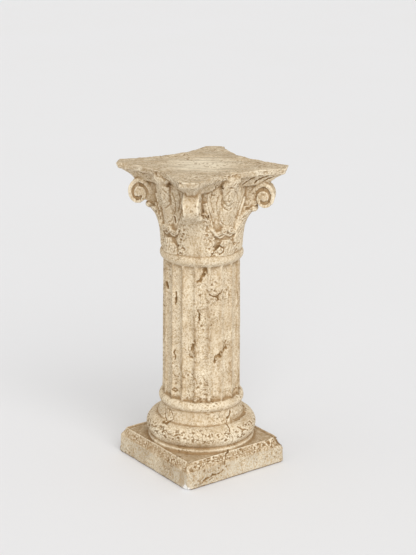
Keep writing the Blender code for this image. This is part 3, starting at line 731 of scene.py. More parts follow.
def evaluated_mesh(piece):
    return bpy.data.meshes.new_from_object(piece.evaluated_get(bpy.context.evaluated_depsgraph_get()))


def fused(name, forms):
    """One fine mesh over all the forms together, with everything that lies inside removed."""
    points = []
    faces = []
    for form_points, form_faces in forms:
        first = len(points)
        points += form_points
        faces += [tuple(first + corner for corner in face) for face in form_faces]
    mesh = bpy.data.meshes.new(name)
    mesh.from_pydata(points, [], faces)
    piece = bpy.data.objects.new(name, mesh)
    bpy.context.scene.collection.objects.link(piece)
    remesh = piece.modifiers.new("remesh", "REMESH")
    remesh.mode = "VOXEL"
    remesh.voxel_size = VOXEL
    fine = evaluated_mesh(piece)
    piece.modifiers.clear()
    piece.data = fine
    return piece


# Wear. These functions work on arrays of points, one row for each point.

def lattice(cell, seed):
    """A repeatable number from 0 to 1 for each lattice cell."""
    mixed = cell[:, 0] * 374761393 + cell[:, 1] * 668265263 + cell[:, 2] * 1440662683 + seed * 1274126177
    mixed &= 0xFFFFFFFF
    mixed = ((mixed ^ (mixed >> 13)) * 1103515245) & 0xFFFFFFFF
    mixed = ((mixed ^ (mixed >> 15)) * 668265263) & 0xFFFFFFFF
    return ((mixed ^ (mixed >> 16)) & 0xFFFFFF) / float(0xFFFFFF)


def noise(points, size, seed):
    """Soft noise from -1 to 1 whose features have the given size."""
    scaled = points / size
    cell = np.floor(scaled).astype(np.int64)
    share = scaled - cell
    share = share * share * (3.0 - 2.0 * share)
    total = np.zeros(len(points))
    for corner in range(8):
        offset = np.array([corner & 1, (corner >> 1) & 1, corner >> 2])
        weight = np.prod(np.where(offset == 1, share, 1.0 - share), axis=1)
        total += weight * lattice(cell + offset, seed)
    return 2.0 * total - 1.0


def layered_noise(points, size, seed, layers=4):
    """Noise with finer and weaker layers added."""
    total = np.zeros(len(points))
    strength = 1.0
    for layer in range(layers):
        total += strength * noise(points, size / 2.0 ** layer, seed + layer)
        strength *= 0.5
    return total / (2.0 - 2.0 ** (1 - layers))


def neighbour_mean(values, edges, counts):
    """The mean of each point's neighbours, for an array of points or of numbers."""
    columns = values.reshape(len(values), -1)
    mean = np.empty_like(columns)
    for column in range(columns.shape[1]):
        source = columns[:, column]
        total = np.bincount(edges[:, 0], source[edges[:, 1]], len(values))
        total += np.bincount(edges[:, 1], source[edges[:, 0]], len(values))
        mean[:, column] = total / counts
    return mean.reshape(values.shape)


def smoothed(values, edges, counts, rounds):
    for _ in range(rounds):
        values = 0.4 * values + 0.6 * neighbour_mean(values, edges, counts)
    return values


def mesh_values(rows, name, width, kind=np.float32):
    """The numbers that a mesh keeps for its points or edges, in rows of the given width."""
    values = np.empty(len(rows) * width, kind)
    rows.foreach_get(name, values)
    return values.reshape(-1, width)


def mesh_points(mesh):
    return mesh_values(mesh.vertices, "co", 3).astype(np.float64)


def mesh_normals(mesh):
    return mesh_values(mesh.vertex_normals, "vector", 3).astype(np.float64)


def mesh_edges(mesh):
    return mesh_values(mesh.edges, "vertices", 2, np.int32)


def set_points(mesh, points):
    mesh.vertices.foreach_set("co", points.astype(np.float32).ravel())
    mesh.update()


def store(mesh, name, values):
    """Keeps one number for each point of the mesh as an attribute that the material reads."""
    attribute = mesh.attributes.new(name, "FLOAT", "POINT")
    attribute.data.foreach_set("value", values.astype(np.float32))


LEAST_PIT_REACH = 0.25
MOST_PIT_REACH = 0.70


def pits(points, size, seed, share, stretch=(1.0, 1.0, 1.0)):
    """How deep each point lies in scattered round pits, from 0 to 1. That share of the cells has one."""
    scaled = points / (size * np.array(stretch))
    cell = np.floor(scaled).astype(np.int64)
    deepest = np.zeros(len(points))
    for shift in range(27):
        corner = cell + np.array([shift % 3 - 1, shift // 3 % 3 - 1, shift // 9 - 1])
        picked = np.flatnonzero(lattice(corner, seed) < share)
        middle = corner[picked].astype(float)
        for axis in range(3):
            middle[:, axis] += lattice(corner[picked], seed + 1 + axis)
        reach = mix(LEAST_PIT_REACH, MOST_PIT_REACH, lattice(corner[picked], seed + 4))
        away = np.linalg.norm(scaled[picked] - middle, axis=1) / reach
        depth = np.sqrt(np.clip(1.0 - away * away, 0.0, 1.0)) * reach
        deepest[picked] = np.maximum(deepest[picked], depth)
    return deepest


def creases(points, size, seed, width):
    """1 along a net of thin lines and 0 between them."""
    return 1.0 - np.clip(np.abs(noise(points, size, seed)) / width, 0.0, 1.0)


def path_distance(places, path):
    """The distance from each place to a path of straight runs."""
    path = np.asarray(path, dtype=float)
    nearest = np.full(len(places), np.inf)
    for start, end in zip(path[:-1], path[1:]):
        run = end - start
        share = np.clip((places - start) @ run / (run @ run), 0.0, 1.0)
        away = places - start - share[:, None] * run
        nearest = np.minimum(nearest, np.sqrt(np.einsum("ij,ij->i", away, away)))
    return nearest


# How far torn edges stray, the size of the tears and their seed, in a coarse and a fine layer.
TEARS = ((0.0024, 0.009, 101), (0.0010, 0.0035, 104))


def ragged(points, strength=1.0):
    """Points moved a little this way and that, so that what is measured from them gets torn edges."""
    moved_points = points.copy()
    for axis in range(3):
        for stray, size, seed in TEARS:
            moved_points[:, axis] += strength * stray * noise(points, size, seed + axis)
    return moved_points


def polar(points):
    radius = np.hypot(points[:, 0], points[:, 1])
    return np.arctan2(points[:, 1], points[:, 0]), radius, points[:, 2]


def square_reach(points):
    """How far out each point lies towards the nearest side of the plinth."""
    return np.maximum(np.abs(points[:, 0]), np.abs(points[:, 1]))


def spot_distance(points, centre, reach):
    """The distance from a spot's centre, as a share of its reach. Both are given in millimetres."""
    return np.linalg.norm(points - np.array(centre) * MILLIMETRE, axis=1) / (reach * MILLIMETRE)


def flute_phase(angle, shift=0.0):
    """How far round its flute each angle lies, from one arris to the next."""
    return (angle - CORNER_ANGLES[0] + FLUTE_SPACING / 2.0 + shift) % FLUTE_SPACING


# Carving of the capital, drawn on half of one face: (angle from the face's middle in degrees, millimetres
# above the bell's foot). Each stroke is a path, its half width and how far it stands out, in millimetres.
CARVED_STROKES = [
    (((0, 50), (3, 46), (6, 43), (10, 42.5), (14, 46), (18, 53), (22, 63)), 2.2, 2.6),
    (((0, 44), (3, 40.5), (6, 37.5), (10, 37), (15, 40.5), (20, 48), (24, 59)), 1.3, -2.2),
    (((2, 70), (8, 76), (11.5, 88), (11.5, 100), (8, 112)), 1.3, -1.9),
    (((0, 103), (5, 108), (9.5, 118), (10.5, 130), (7, 142), (4, 148)), 1.5, -2.8),
    (((1.5, 122), (4.5, 130), (4, 140)), 1.1, -1.9),
    (((0, 112), (2.5, 116), (6, 119)), 1.0, -1.3),
    (((13, 92), (16.5, 106), (17, 122), (14, 140)), 1.2, -1.9),
    (((20, 100), (23.5, 114), (25, 130), (24, 144)), 1.2, -1.8),
    (((23.5, 98), (27, 114), (28.5, 130), (28, 144)), 1.4, 1.8),
    (((26, 70), (28, 84), (31, 96)), 1.0, -1.5),
    (((45, 4), (44, 50), (42.5, 88)), 0.8, -0.35),
    (((44, 4), (40.5, 50), (38, 88)), 0.8, -0.45),
    (((43, 4), (36.5, 46), (33, 84)), 0.8, -0.55),
    (((0, 4), (0, 34)), 1.2, 1.0),
    (((1.5, 8), (5, 22), (5, 36)), 0.9, -1.4),
    (((4, 4), (9, 16), (10.5, 30)), 0.9, -1.4),
    (((8, 2), (13, 10), (15, 24)), 0.9, -1.3),
]
LEAFLET_COUNT = 5
LEAFLET_FOOT = 36.0
LEAFLET_RISE = 10.5
LOOPS = ((22.0, 7), (19.0, 22), (26.0, 19), (24.5, 37), (29.0, 52), (35.5, 96))
LOOP_RADIUS = 4.4
CARVING_RADIUS = 0.092

# Where on the bell the carving fades out, and where it is busiest, in metres and degrees.
CARVING_FADE = 0.112
CARVING_END = 0.121
BUSY_TURN = (29.0, 34.0)
BESIDE_TURN = (15.0, 19.0)
BUSY_LOW = (0.036, 0.046)
BUSY_HIGH = (0.080, 0.095)
PLAIN_CREASE_SHARE = 0.04
BELL_CREASE_DEPTH = 0.0014
BELL_PIT_DEPTH = 0.0035


def carved_strokes():
    """The strokes above, the leaflets beside the corner leaves and the loops beside the face leaf."""
    strokes = list(CARVED_STROKES)
    for leaflet in range(LEAFLET_COUNT):
        foot = LEAFLET_FOOT + LEAFLET_RISE * leaflet
        strokes.append((((33.5, foot + 6.0), (31.5, foot + 7.0), (29.5, foot + 2.0)), 1.1, -1.7))
    degree = math.radians(1.0) * CARVING_RADIUS / MILLIMETRE
    for middle, height in LOOPS:
        loop = []
        for step in range(11):
            angle = 2.0 * math.pi * step / 12 + middle
            across = LOOP_RADIUS * math.cos(angle) / degree
            loop.append((middle + across, height + LOOP_RADIUS * math.sin(angle)))
        strokes.append((tuple(loop), 1.1, 1.7))
        strokes.append((((middle - 0.5, height - 0.8), (middle + 0.5, height + 0.8)), 1.6, -2.8))
    return strokes


def carving(points):
    """How far the carving moves each point out of or into the bell, in metres."""
    rise = np.zeros(len(points))
    angle, radius, height = polar(ragged(points, 0.4))
    inside = (height > BELL_FOOT) & (height < ABACUS_FOOT - 0.002) & (radius < CARVING_END)
    picked = np.flatnonzero(inside)
    quarter = math.pi / 2.0
    turn = np.abs((angle[picked] + quarter / 2.0) % quarter - quarter / 2.0)
    places = np.stack([turn * CARVING_RADIUS, height[picked] - BELL_FOOT], axis=1)
    total = np.zeros(len(picked))
    for path, half_width, proud in carved_strokes():
        drawn = [(math.radians(across) * CARVING_RADIUS, level * MILLIMETRE) for across, level in path]
        near = path_distance(places, drawn) / (half_width * MILLIMETRE)
        total += proud * MILLIMETRE * np.exp(-near * near)
    busy = 1.0 - smooth_step(np.degrees(turn), *BUSY_TURN)
    beside = smooth_step(np.degrees(turn), *BESIDE_TURN)
    low = 1.0 - smooth_step(places[:, 1], *BUSY_LOW)
    busy *= np.maximum(low, beside * (1.0 - smooth_step(places[:, 1], *BUSY_HIGH)))
    crumbly = points[picked]
    creased = mix(PLAIN_CREASE_SHARE, 1.0, busy) * creases(crumbly, 0.0062, 61, 0.20)
    total -= BELL_CREASE_DEPTH * creased
    total -= BELL_PIT_DEPTH * busy * pits(crumbly, 0.0065, 71, 0.16)
    total *= smooth_step(places[:, 1], 0.0, 0.004)
    total *= 1.0 - smooth_step(radius[picked], CARVING_FADE, CARVING_END)
    rise[picked] = total
    return rise


# Scars, and one crevice of painted shade: half width, depth and darkness, then a path of (angle in degrees,
# height in millimetres).
SCARS_AND_CREVICE_SHADE = [
    (7.4, 2.4, 0.8, ((-31, 484), (-31, 474), (-35, 464), (-39, 454))),
    (1.9, 2.2, 1.0, ((-25, 425), (-21, 420), (-14, 414), (-9, 410))),
    (1.7, 2.0, 1.0, ((-13, 415), (-8, 421), (-3, 431))),
    (1.5, 1.8, 0.8, ((-9, 420), (-11, 406))),
    (1.5, 2.0, 0.9, ((-41, 386), (-40, 376))),
    (3.2, 3.2, 1.3, ((-40, 376), (-39, 365))),
    (2.0, 2.0, 0.9, ((-79, 422), (-79, 408))),
    (3.0, 2.8, 1.1, ((-79, 408), (-80, 394))),
    (3.2, 2.4, 1.0, ((-104, 436), (-101, 424))),
    (6.2, 2.4, 0.8, ((-46, 316), (-49, 300), (-50, 290), (-53, 278))),
    (7.2, 2.6, 0.8, ((-15, 266), (-10, 276), (-4, 286), (5, 294))),
    (2.2, 1.2, 0.5, ((-1, 296), (6, 308))),
    (1.8, 1.6, 0.8, ((-81, 286), (-81, 262))),
    (1.2, 1.4, 0.8, ((35, 414), (34, 402))),
    (1.3, 0.7, 0.25, ((10, 425), (11, 400), (10, 384))),
    (1.8, 1.4, 0.7, ((-84, 192), (-80, 186), (-76, 190), (-80, 195), (-84, 192))),
    (2.6, 2.6, 0.75, ((-20, 517), (-16, 530), (-11, 534))),
    (2.4, 2.6, 0.75, ((-11, 534), (-5, 529), (-5, 520), (-10, 516))),
    (1.3, 1.6, 0.7, ((-24, 511), (-20, 517))),
    (2.4, 4.5, 1.0, ((-77.5, 594), (-77.5, 584))),
    (1.4, 2.2, 0.8, ((-30, 606), (-28, 600))),
    # This row cuts the crevice under the abacus's front left edge, and its darkness is painted shade in that
    # crevice.
    (1.7, 2.6, 1.0, ((-67, 685), (-63, 668), (-57, 658), (-52.5, 655))),
    (1.6, 1.4, 0.7, ((-53, 652), (-51.5, 632), (-51, 616))),
    (2.0, 3.2, 1.0, ((-26.5, 607), (-26.5, 602))),
    (1.8, 2.2, 1.1, ((13, 684), (8, 674))),
    (1.2, 1.8, 0.9, ((2, 679), (-1, 674))),
    (2.7, 2.0, 1.3, ((27, 685), (25.6, 678), (22, 666))),
    (2.6, 2.0, 1.3, ((35, 684), (33, 668))),
    (1.8, 2.4, 1.1, ((38.8, 678), (38.4, 668))),
    (1.6, 1.6, 0.7, ((30, 184), (22, 178), (16, 176))),
    (1.0, 1.6, 0.6, ((19, 160), (14, 150), (9, 141))),
    (2.6, 2.8, 0.9, ((9, 141), (6, 133), (1, 128))),
    (1.2, 1.8, 0.7, ((1, 128), (-2, 117), (-4, 106))),
    (2.6, 1.2, 0.5, ((8, 112), (12, 104), (18, 100))),
    (0.9, 1.2, 0.35, ((-4, 106), (-1, 87), (-4, 66))),
    (1.2, 2.0, 0.7, ((-101, 147), (-97, 138), (-96, 130), (-90, 119))),
    (2.2, 2.0, 0.8, ((-92, 121), (-86, 116), (-80, 117))),
    (1.0, 1.2, 0.5, ((-80, 117), (-76, 124), (-79, 134), (-86, 142))),
    (1.2, 1.2, 0.5, ((-84, 106), (-74, 103), (-66, 99), (-62, 103), (-56, 104))),
    (1.2, 1.2, 0.5, ((-112, 110), (-106, 102), (-98, 100), (-94, 106))),
]
SCAR_RADIUS = 0.090
BACK_SCARS = 14
TORN_SCAR = (3.2, 4.4)
SCAR_SPREAD = 0.012
SCAR_TURN = 0.9
# Painted shadow along the plinth's foot where it meets the floor: the heights over which it fades out, and
# how dark it is.
FOOT_SHADOW_HEIGHT = (0.0018, 0.0032)
FOOT_SHADOW_DARKNESS = 0.8

# The crack goes on over the plinth: half width, depth and darkness, then points in millimetres.
PLINTH_CRACKS = [
    (2.4, 3.4, 1.1, ((122, -14, 63), (128, -22, 60), (134, -28, 50), (136, -32, 40))),
    (0.9, 1.2, 0.4, ((136, -32, 40), (136, -34, 27))),
    (2.4, 2.4, 1.1, ((136, -36, 26), (136, -52, 21), (136, -66, 22), (136, -84, 16), (136, -97, 11))),
    (1.8, 1.6, 0.9, ((136, -66, 16), (136, -80, 11), (136, -96, 8))),
]


def scar_cut(places, drawn, half_width, breakup, cracks):
    """How much of a mark's depth each place has: narrow marks are cut through, wide ones torn by cracks."""
    near = path_distance(places, drawn) / (half_width * MILLIMETRE)
    eaten = 0.25 + 0.75 * breakup * smooth_step(near, 0.1, 0.8)
    patch = np.clip(1.45 * np.exp(-near * near) - eaten, 0.0, 1.0)
    return patch * mix(1.0, 0.16 + 1.15 * cracks, float(smooth_step(half_width, *TORN_SCAR)))


def back_scars():
    """Scars for the half of the shaft that faces away."""
    chance = np.random.default_rng(5)
    marks = []
    for _ in range(BACK_SCARS):
        turn, foot = chance.uniform(60.0, 235.0), chance.uniform(185.0, 480.0)
        lean, rise = chance.uniform(-9.0, 9.0), chance.uniform(8.0, 26.0)
        path = ((turn, foot), (turn + lean * 0.3, foot + rise * 0.6), (turn + lean, foot + rise))
        marks.append((chance.uniform(1.2, 4.0), chance.uniform(1.2, 2.2), chance.uniform(0.5, 0.9), path))
    return marks


def scars(points):
    """How dark each place is in cracks and torn patches, with painted shade in one crevice and a painted
    shadow where it meets the floor, and how deep they cut.
    """
    dark = np.zeros(len(points))
    depth = np.zeros(len(points))
    torn = ragged(points)
    breakup = np.clip(0.5 + noise(points, 0.0042, 121), 0.0, 1.0)
    cracks = creases(torn * (1.0, 1.0, 0.7), 0.0046, 123, 0.60)
    angle, _, height = polar(torn)
    for half_width, sunk, darkness, path in SCARS_AND_CREVICE_SHADE + back_scars():
        middle = math.radians(path[0][0])
        apart = (angle - middle + math.pi) % (2.0 * math.pi) - math.pi
        low = min(level for _, level in path) * MILLIMETRE - SCAR_SPREAD
        high = max(level for _, level in path) * MILLIMETRE + SCAR_SPREAD
        picked = np.flatnonzero((np.abs(apart) < SCAR_TURN) & (height > low) & (height < high))
        places = np.stack([apart[picked] * SCAR_RADIUS, height[picked]], axis=1)
        drawn = [((math.radians(turn) - middle) * SCAR_RADIUS, level * MILLIMETRE) for turn, level in path]
        cut = scar_cut(places, drawn, half_width, breakup[picked], cracks[picked])
        dark[picked] = np.maximum(dark[picked], cut * darkness)
        depth[picked] = np.maximum(depth[picked], cut * sunk * MILLIMETRE)
    for half_width, sunk, darkness, path in PLINTH_CRACKS:
        cut = scar_cut(torn, np.array(path) * MILLIMETRE, half_width, breakup, cracks)
        dark = np.maximum(dark, cut * darkness)
        depth = np.maximum(depth, cut * sunk * MILLIMETRE)
    # Painted shadow along the foot of the plinth, where it meets the floor.
    foot_shadow = 1.0 - smooth_step(points[:, 2], *FOOT_SHADOW_HEIGHT)
    return np.clip(np.maximum(dark, FOOT_SHADOW_DARKNESS * foot_shadow), 0.0, 1.0), depth


# Stains: centre and reach in millimetres, then strength.
STAINS = [
    ((128, 60, 62), 42, 0.7), ((118, -70, 62), 60, 0.75), ((60, -122, 62), 60, 0.7),
    ((-30, -126, 60), 60, 0.55), ((110, -128, 30), 22, 0.8), ((120, -134, 12), 22, 0.6),
    ((-118, -126, 60), 26, 0.6), ((96, 60, 106), 44, 0.6), ((84, 30, 172), 22, 0.7),
    ((60, -112, 52), 30, 0.5), ((70, -136, 30), 34, 0.4), ((90, -63, 637), 15, 1.0),
    ((92, -112, 640), 12, 0.5), ((50, -70, 516), 26, 0.25), ((-70, -70, 640), 40, 0.5),
    ((96, 96, 650), 36, 0.5), ((126, 108, 58), 30, 0.6), ((-130, 100, 60), 40, 0.5),
    ((0, 130, 61), 60, 0.5), ((-130, -20, 61), 60, 0.5),
]


def on_bevel(points):
    """1 on the plinth's bevel and 0 elsewhere."""
    rise = points[:, 2]
    bevel = band(rise, PLINTH_FACE_HEIGHT - 0.0015, PLINTH_FACE_HEIGHT + 0.0010,
                 PLINTH_TOP - 0.0035, PLINTH_TOP - 0.0015)
    return bevel * smooth_step(square_reach(points), 0.1225, 0.1255)


def on_crest(points):
    """1 along the plinth's upper edge, where the bevel meets the gutter, and 0 elsewhere."""
    crest = np.exp(-((square_reach(points) - PLINTH_CREST) / 0.0017) ** 2)
    return crest * smooth_step(points[:, 2], PLINTH_TOP - 0.0045, PLINTH_TOP - 0.0025)


def abacus_inset(points):
    """How far in from the hollow sides of the abacus each point lies, seen from above."""
    arc_centre = ABACUS_SIDE_REACH + ABACUS_SIDE_HOLLOW_RADIUS
    nearest = np.full(len(points), np.inf)
    for angle in FACE_ANGLES:
        away = points[:, :2] - arc_centre * np.array([math.cos(angle), math.sin(angle)])
        nearest = np.minimum(nearest, np.hypot(away[:, 0], away[:, 1]) - ABACUS_SIDE_HOLLOW_RADIUS)
    return nearest


ARCH_HEIGHT = 0.0050
ARCH_HALF_WIDTH = 0.0017
ARCH_RADIUS = (0.080, 0.082)


def foot_arches(points):
    """1 along the low arches at the feet of the flutes, and 0 elsewhere."""
    angle, radius, height = polar(points)
    arch = SHAFT_FOOT + ARCH_HEIGHT * np.sin(math.pi * flute_phase(angle) / FLUTE_SPACING)
    return np.exp(-((height - arch) / ARCH_HALF_WIDTH) ** 2) * smooth_step(radius, *ARCH_RADIUS)


# Painted shade beside each arris of the shaft: its shift towards the side in shade, its width and where it
# stops.
ARRIS_SHADE_SHIFT = math.radians(1.2)
ARRIS_SHADE_WIDTH = 0.0034
ARRIS_SHADE_HEAD = 0.487
GUTTER_WASH = 0.8
BASE_WASH = 0.22
CAPITAL_WASH = 0.26
# Round the edge of the abacus's top the wash is also painted shade of the dished top.
RIM_WASH_AND_SHADE = 0.62
# The extra darkening of the bevel on the face in shade is painted shade.
SHADED_BEVEL_PAINTED_SHADE = 0.25


def plinth_wash_and_shade(points, torn):
    """Wash in the plinth's gutter and on its bevel, and more on the bevel of the face that is seen in shade,
    which is painted shade.
    """
    gutter = band(torn[:, 2], PLINTH_TOP - 0.008, PLINTH_TOP - 0.004, PLINTH_TOP + 0.002, PLINTH_TOP + 0.006)
    gutter *= 1.0 - smooth_step(square_reach(torn), 0.122, 0.126)
    painted_shade_face = smooth_step(points[:, 0] - points[:, 1], 0.0, 0.10) * smooth_step(-points[:, 1], 0.130, 0.134)
    bevel = 1.0 + SHADED_BEVEL_PAINTED_SHADE * painted_shade_face + 0.5 * noise(points, 0.014, 133)
    return np.maximum(GUTTER_WASH * gutter, bevel * on_bevel(torn))


def rim_wash_and_shade(points, height):
    """Wash round the edge of the abacus's top, which is also painted shade of the dished top, and in a few
    places across it.
    """
    edge = 1.0 - smooth_step(abacus_inset(points), 0.004, 0.050)
    across = 0.25 * smooth_step(noise(points, 0.045, 135), 0.0, 0.7)
    rim = smooth_step(height, TOP - 0.004, TOP - 0.001) * (edge + across)
    return RIM_WASH_AND_SHADE * rim * (0.8 + 0.5 * noise(points, 0.012, 137))


def arris_painted_shade(points, angle, height):
    """Painted shade down the side of each arris of the shaft that is in shade, mottled like the wash."""
    phase = flute_phase(angle, ARRIS_SHADE_SHIFT)
    from_arris = np.minimum(phase, FLUTE_SPACING - phase) * SHAFT_FOOT_RADIUS
    mottled = 0.65 + 0.5 * noise(points * (1.0, 1.0, 0.25), 0.02, 131)
    on_shaft = band(height, SHAFT_FOOT - 0.004, SHAFT_FOOT, ARRIS_SHADE_HEAD - 0.007, ARRIS_SHADE_HEAD)
    return np.exp(-(from_arris / ARRIS_SHADE_WIDTH) ** 2) * mottled * on_shaft


def stains_and_painted_shade(points):
    """How much brown wash and painted shade lies on each place, apart from what collects in recesses, pits
    and cracks.
    """
    torn = ragged(points, 2.0)
    angle, _, height = polar(torn)
    base = BASE_WASH * (1.0 - smooth_step(height, 0.150, 0.172))
    capital = CAPITAL_WASH * smooth_step(height, ASTRAGAL_FOOT, BELL_FOOT)
    washes = [
        plinth_wash_and_shade(points, torn),
        (base + capital) * (1.0 + 0.8 * noise(points, 0.022, 139)),
        rim_wash_and_shade(points, height),
        # The arches at the flutes' feet, darkened as dirt and as painted shade.
        foot_arches(torn),
        arris_painted_shade(points, angle, height),
    ]
    for centre, reach, strength in STAINS:
        washes.append(strength * (1.0 - smooth_step(spot_distance(torn, centre, reach), 0.3, 1.0)))
    return np.clip(np.maximum.reduce(washes), 0.0, 1.0)


# Chips: centre, reach and depth in millimetres.
CHIPS = [
    ((136, 136, 58), 24, 7.0),
    ((128, 97, 62), 9, 2.5),
    ((134, 118, 48), 10, 2.5),
    ((-136, -136, 60), 12, 3.0),
    ((134, -134, 4), 11, 2.2),
    ((128, -128, 60), 12, 2.5),
    ((-60, 150, 700), 12, 4.0),
    ((-96, 146, 700), 12, 3.0),
    ((150, 96, 700), 10, 2.5),
    ((-150, -96, 700), 10, 2.5),
    ((118, -146, 698), 10, 2.0),
    ((93, -66, 641), 13, 4.5),
    ((124, 6, 692), 9, 2.2),
    ((-6, -124, 690), 9, 2.0),
]
LIP_BREAK_START = 3.0
LIP_BREAK_END = 66.0
LIP_BREAK_DEPTH = 0.0032


def chipped(points):
    """How far chips and the broken lip of the scotia cut in, in metres."""
    depth = np.zeros(len(points))
    torn = ragged(points, 1.4)
    for centre, reach, sunk in CHIPS:
        away = spot_distance(torn, centre, reach)
        depth = np.maximum(depth, np.clip(1.0 - away * away, 0.0, 1.0) * sunk * MILLIMETRE)
    angle, radius, height = polar(torn)
    turn = np.degrees(angle)
    broken = band(turn, LIP_BREAK_START, LIP_BREAK_START + 4.0, LIP_BREAK_END, LIP_BREAK_END + 8.0)
    broken *= band(height, SCOTIA_FOOT - 0.002, SCOTIA_FOOT + 0.001, SCOTIA_FOOT + 0.010, SCOTIA_FOOT + 0.016)
    broken *= 1.0 - smooth_step(radius, 0.1025, 0.105)
    return depth + LIP_BREAK_DEPTH * broken


def on_torus(points):
    """1 on the band of the lower torus that is pitted most, and 0 elsewhere."""
    return band(points[:, 2], 0.080, 0.090, 0.106, 0.114)


def travertine(points):
    """How pitted each place is: everywhere a little, and a good deal on the torus and the plinth's bevel."""
    angle, _, height = polar(points)
    torus = on_torus(points) * mix(0.5, 1.0, smooth_step(noise(points, 0.05, 41), -0.5, 0.1))
    right = band(np.degrees(angle), -44.0, -40.0, 130.0, 136.0)
    bevel = on_bevel(points) * mix(0.4, 1.0, right)
    patches = smooth_step(noise(points, 0.035, 43), 0.0, 0.6)
    top = smooth_step(height, TOP - ABACUS_HEIGHT, TOP - ABACUS_HEIGHT / 2.0)
    return np.clip(torus + bevel + 0.55 * patches + 0.25 * top + 0.12, 0.0, 1.0)


def in_box(points):
    """Points kept inside the box of the solid."""
    low, high = cad_box
    low = np.array([low[0] + BOX_MARGIN, low[1] + BOX_MARGIN, low[2]])
    return np.clip(points, low, np.array(high) - BOX_MARGIN)


# Depths of the wear in metres, and how much more of it nibbles at the rim of the abacus.
EDGE_WEAR = 0.0011
CARVED_EDGE_WEAR = 0.0005
RIM_NIBBLING = 2.6
WAVINESS = 0.0007
RIM_WAVINESS = 0.0006
GRAININESS = 0.00030
CREASE_DEPTH = 0.0011
RIM_WAVE_DEPTH = 0.0019
COARSE_PIT_DEPTH = 0.0022
SMALL_PIT_DEPTH = 0.0010
WORM_DEPTH = 0.0011
DISH_DEPTH = 0.0030
DISH_UNEVENNESS = 0.0008
FLAT_FOOT = 0.0006

# The white chip at the foot of the front corner: its centre and reach in millimetres.
BARE_CHIP = (130, -137, 3)
BARE_CHIP_REACH = 12


def row_dots(first, second):
    return np.einsum("ij,ij->i", first, second)


def rubbed_edges(points, normals, edges, counts, rim):
    """How far each point is worn down, which is most where it stands out from its neighbours."""
    convex = row_dots(points - smoothed(points, edges, counts, 10), normals)
    carved = (points[:, 2] > BELL_FOOT) & (points[:, 2] < ABACUS_FOOT)
    most = np.where(carved, CARVED_EDGE_WEAR, EDGE_WEAR)
    wear = 0.55 + 0.45 * layered_noise(points, 0.020, 11, 3)
    nibbled = 1.0 + RIM_NIBBLING * rim * smooth_step(noise(points, 0.011, 17), 0.0, 0.7)
    return np.clip(convex, 0.0, most) * wear * nibbled


def uneven(points, normals, edges, counts, outward):
    """The points of a crisp casting after wear: edges worn round, a wavy surface, creases and a wavy abacus.
    """
    rim = smooth_step(points[:, 2], TOP - 0.010, TOP - 0.004)
    points = points - normals * rubbed_edges(points, normals, edges, counts, rim)[:, None]
    waviness = WAVINESS + RIM_WAVINESS * rim
    points += normals * (waviness * layered_noise(points, 0.045, 21, 4))[:, None]
    points += normals * (GRAININESS * layered_noise(points, 0.009, 31, 2))[:, None]
    capital = smooth_step(points[:, 2], BELL_FOOT, BELL_FOOT + 0.01) * (1.0 - rim)
    crumbled = np.maximum(on_bevel(points), 0.55 * capital)
    creased = creases(ragged(points, 0.8), 0.0058, 63, 0.30)
    points -= normals * (CREASE_DEPTH * crumbled * creased)[:, None]
    edge = 1.0 - smooth_step(abacus_inset(points), 0.0, 0.007)
    edge *= smooth_step(points[:, 2], TOP - 0.017, TOP - 0.012)
    waves = np.clip(0.5 + 0.9 * noise(points, 0.016, 65) + 0.5 * noise(points, 0.007, 66), 0.0, 1.4)
    return points - (outward + np.array([0.0, 0.0, 0.5])) * (RIM_WAVE_DEPTH * edge * waves)[:, None]


def pitting(points):
    """How deep each point lies in coarse pits, in small pits and in winding grooves, each from 0 to 1."""
    rough = travertine(points)
    torus = on_torus(points)
    torn = ragged(points, 0.8)
    coarse = pits(torn, 0.0060, 51, 0.30, (1.0, 1.0, 0.7)) * rough
    coarse = np.maximum(coarse, pits(torn, 0.0056, 57, 0.34, (1.2, 1.2, 0.8)) * torus)
    small = pits(torn, 0.0040, 81, 0.30) * mix(0.35, 1.0, rough)
    worms = creases(torn * (1.0, 1.0, 1.3), 0.0085, 95, 0.16)
    worms *= smooth_step(noise(points, 0.011, 97) + 0.55 * torus, -0.1, 0.35)
    return coarse, small, worms * np.clip(rough * 1.15 - 0.15, 0.0, 1.0)


def on_top(points):
    """1 on the abacus's top and 0 elsewhere."""
    return smooth_step(points[:, 2], TOP - 0.004, TOP - 0.002)


def dished(points):
    """How far the worn top of the abacus sinks, in metres."""
    middle = 1.0 - smooth_step(np.hypot(points[:, 0], points[:, 1]), 0.03, 0.13)
    unevenness = DISH_UNEVENNESS * (1.0 + layered_noise(points, 0.03, 91, 3))
    return on_top(points) * (DISH_DEPTH * middle + unevenness)


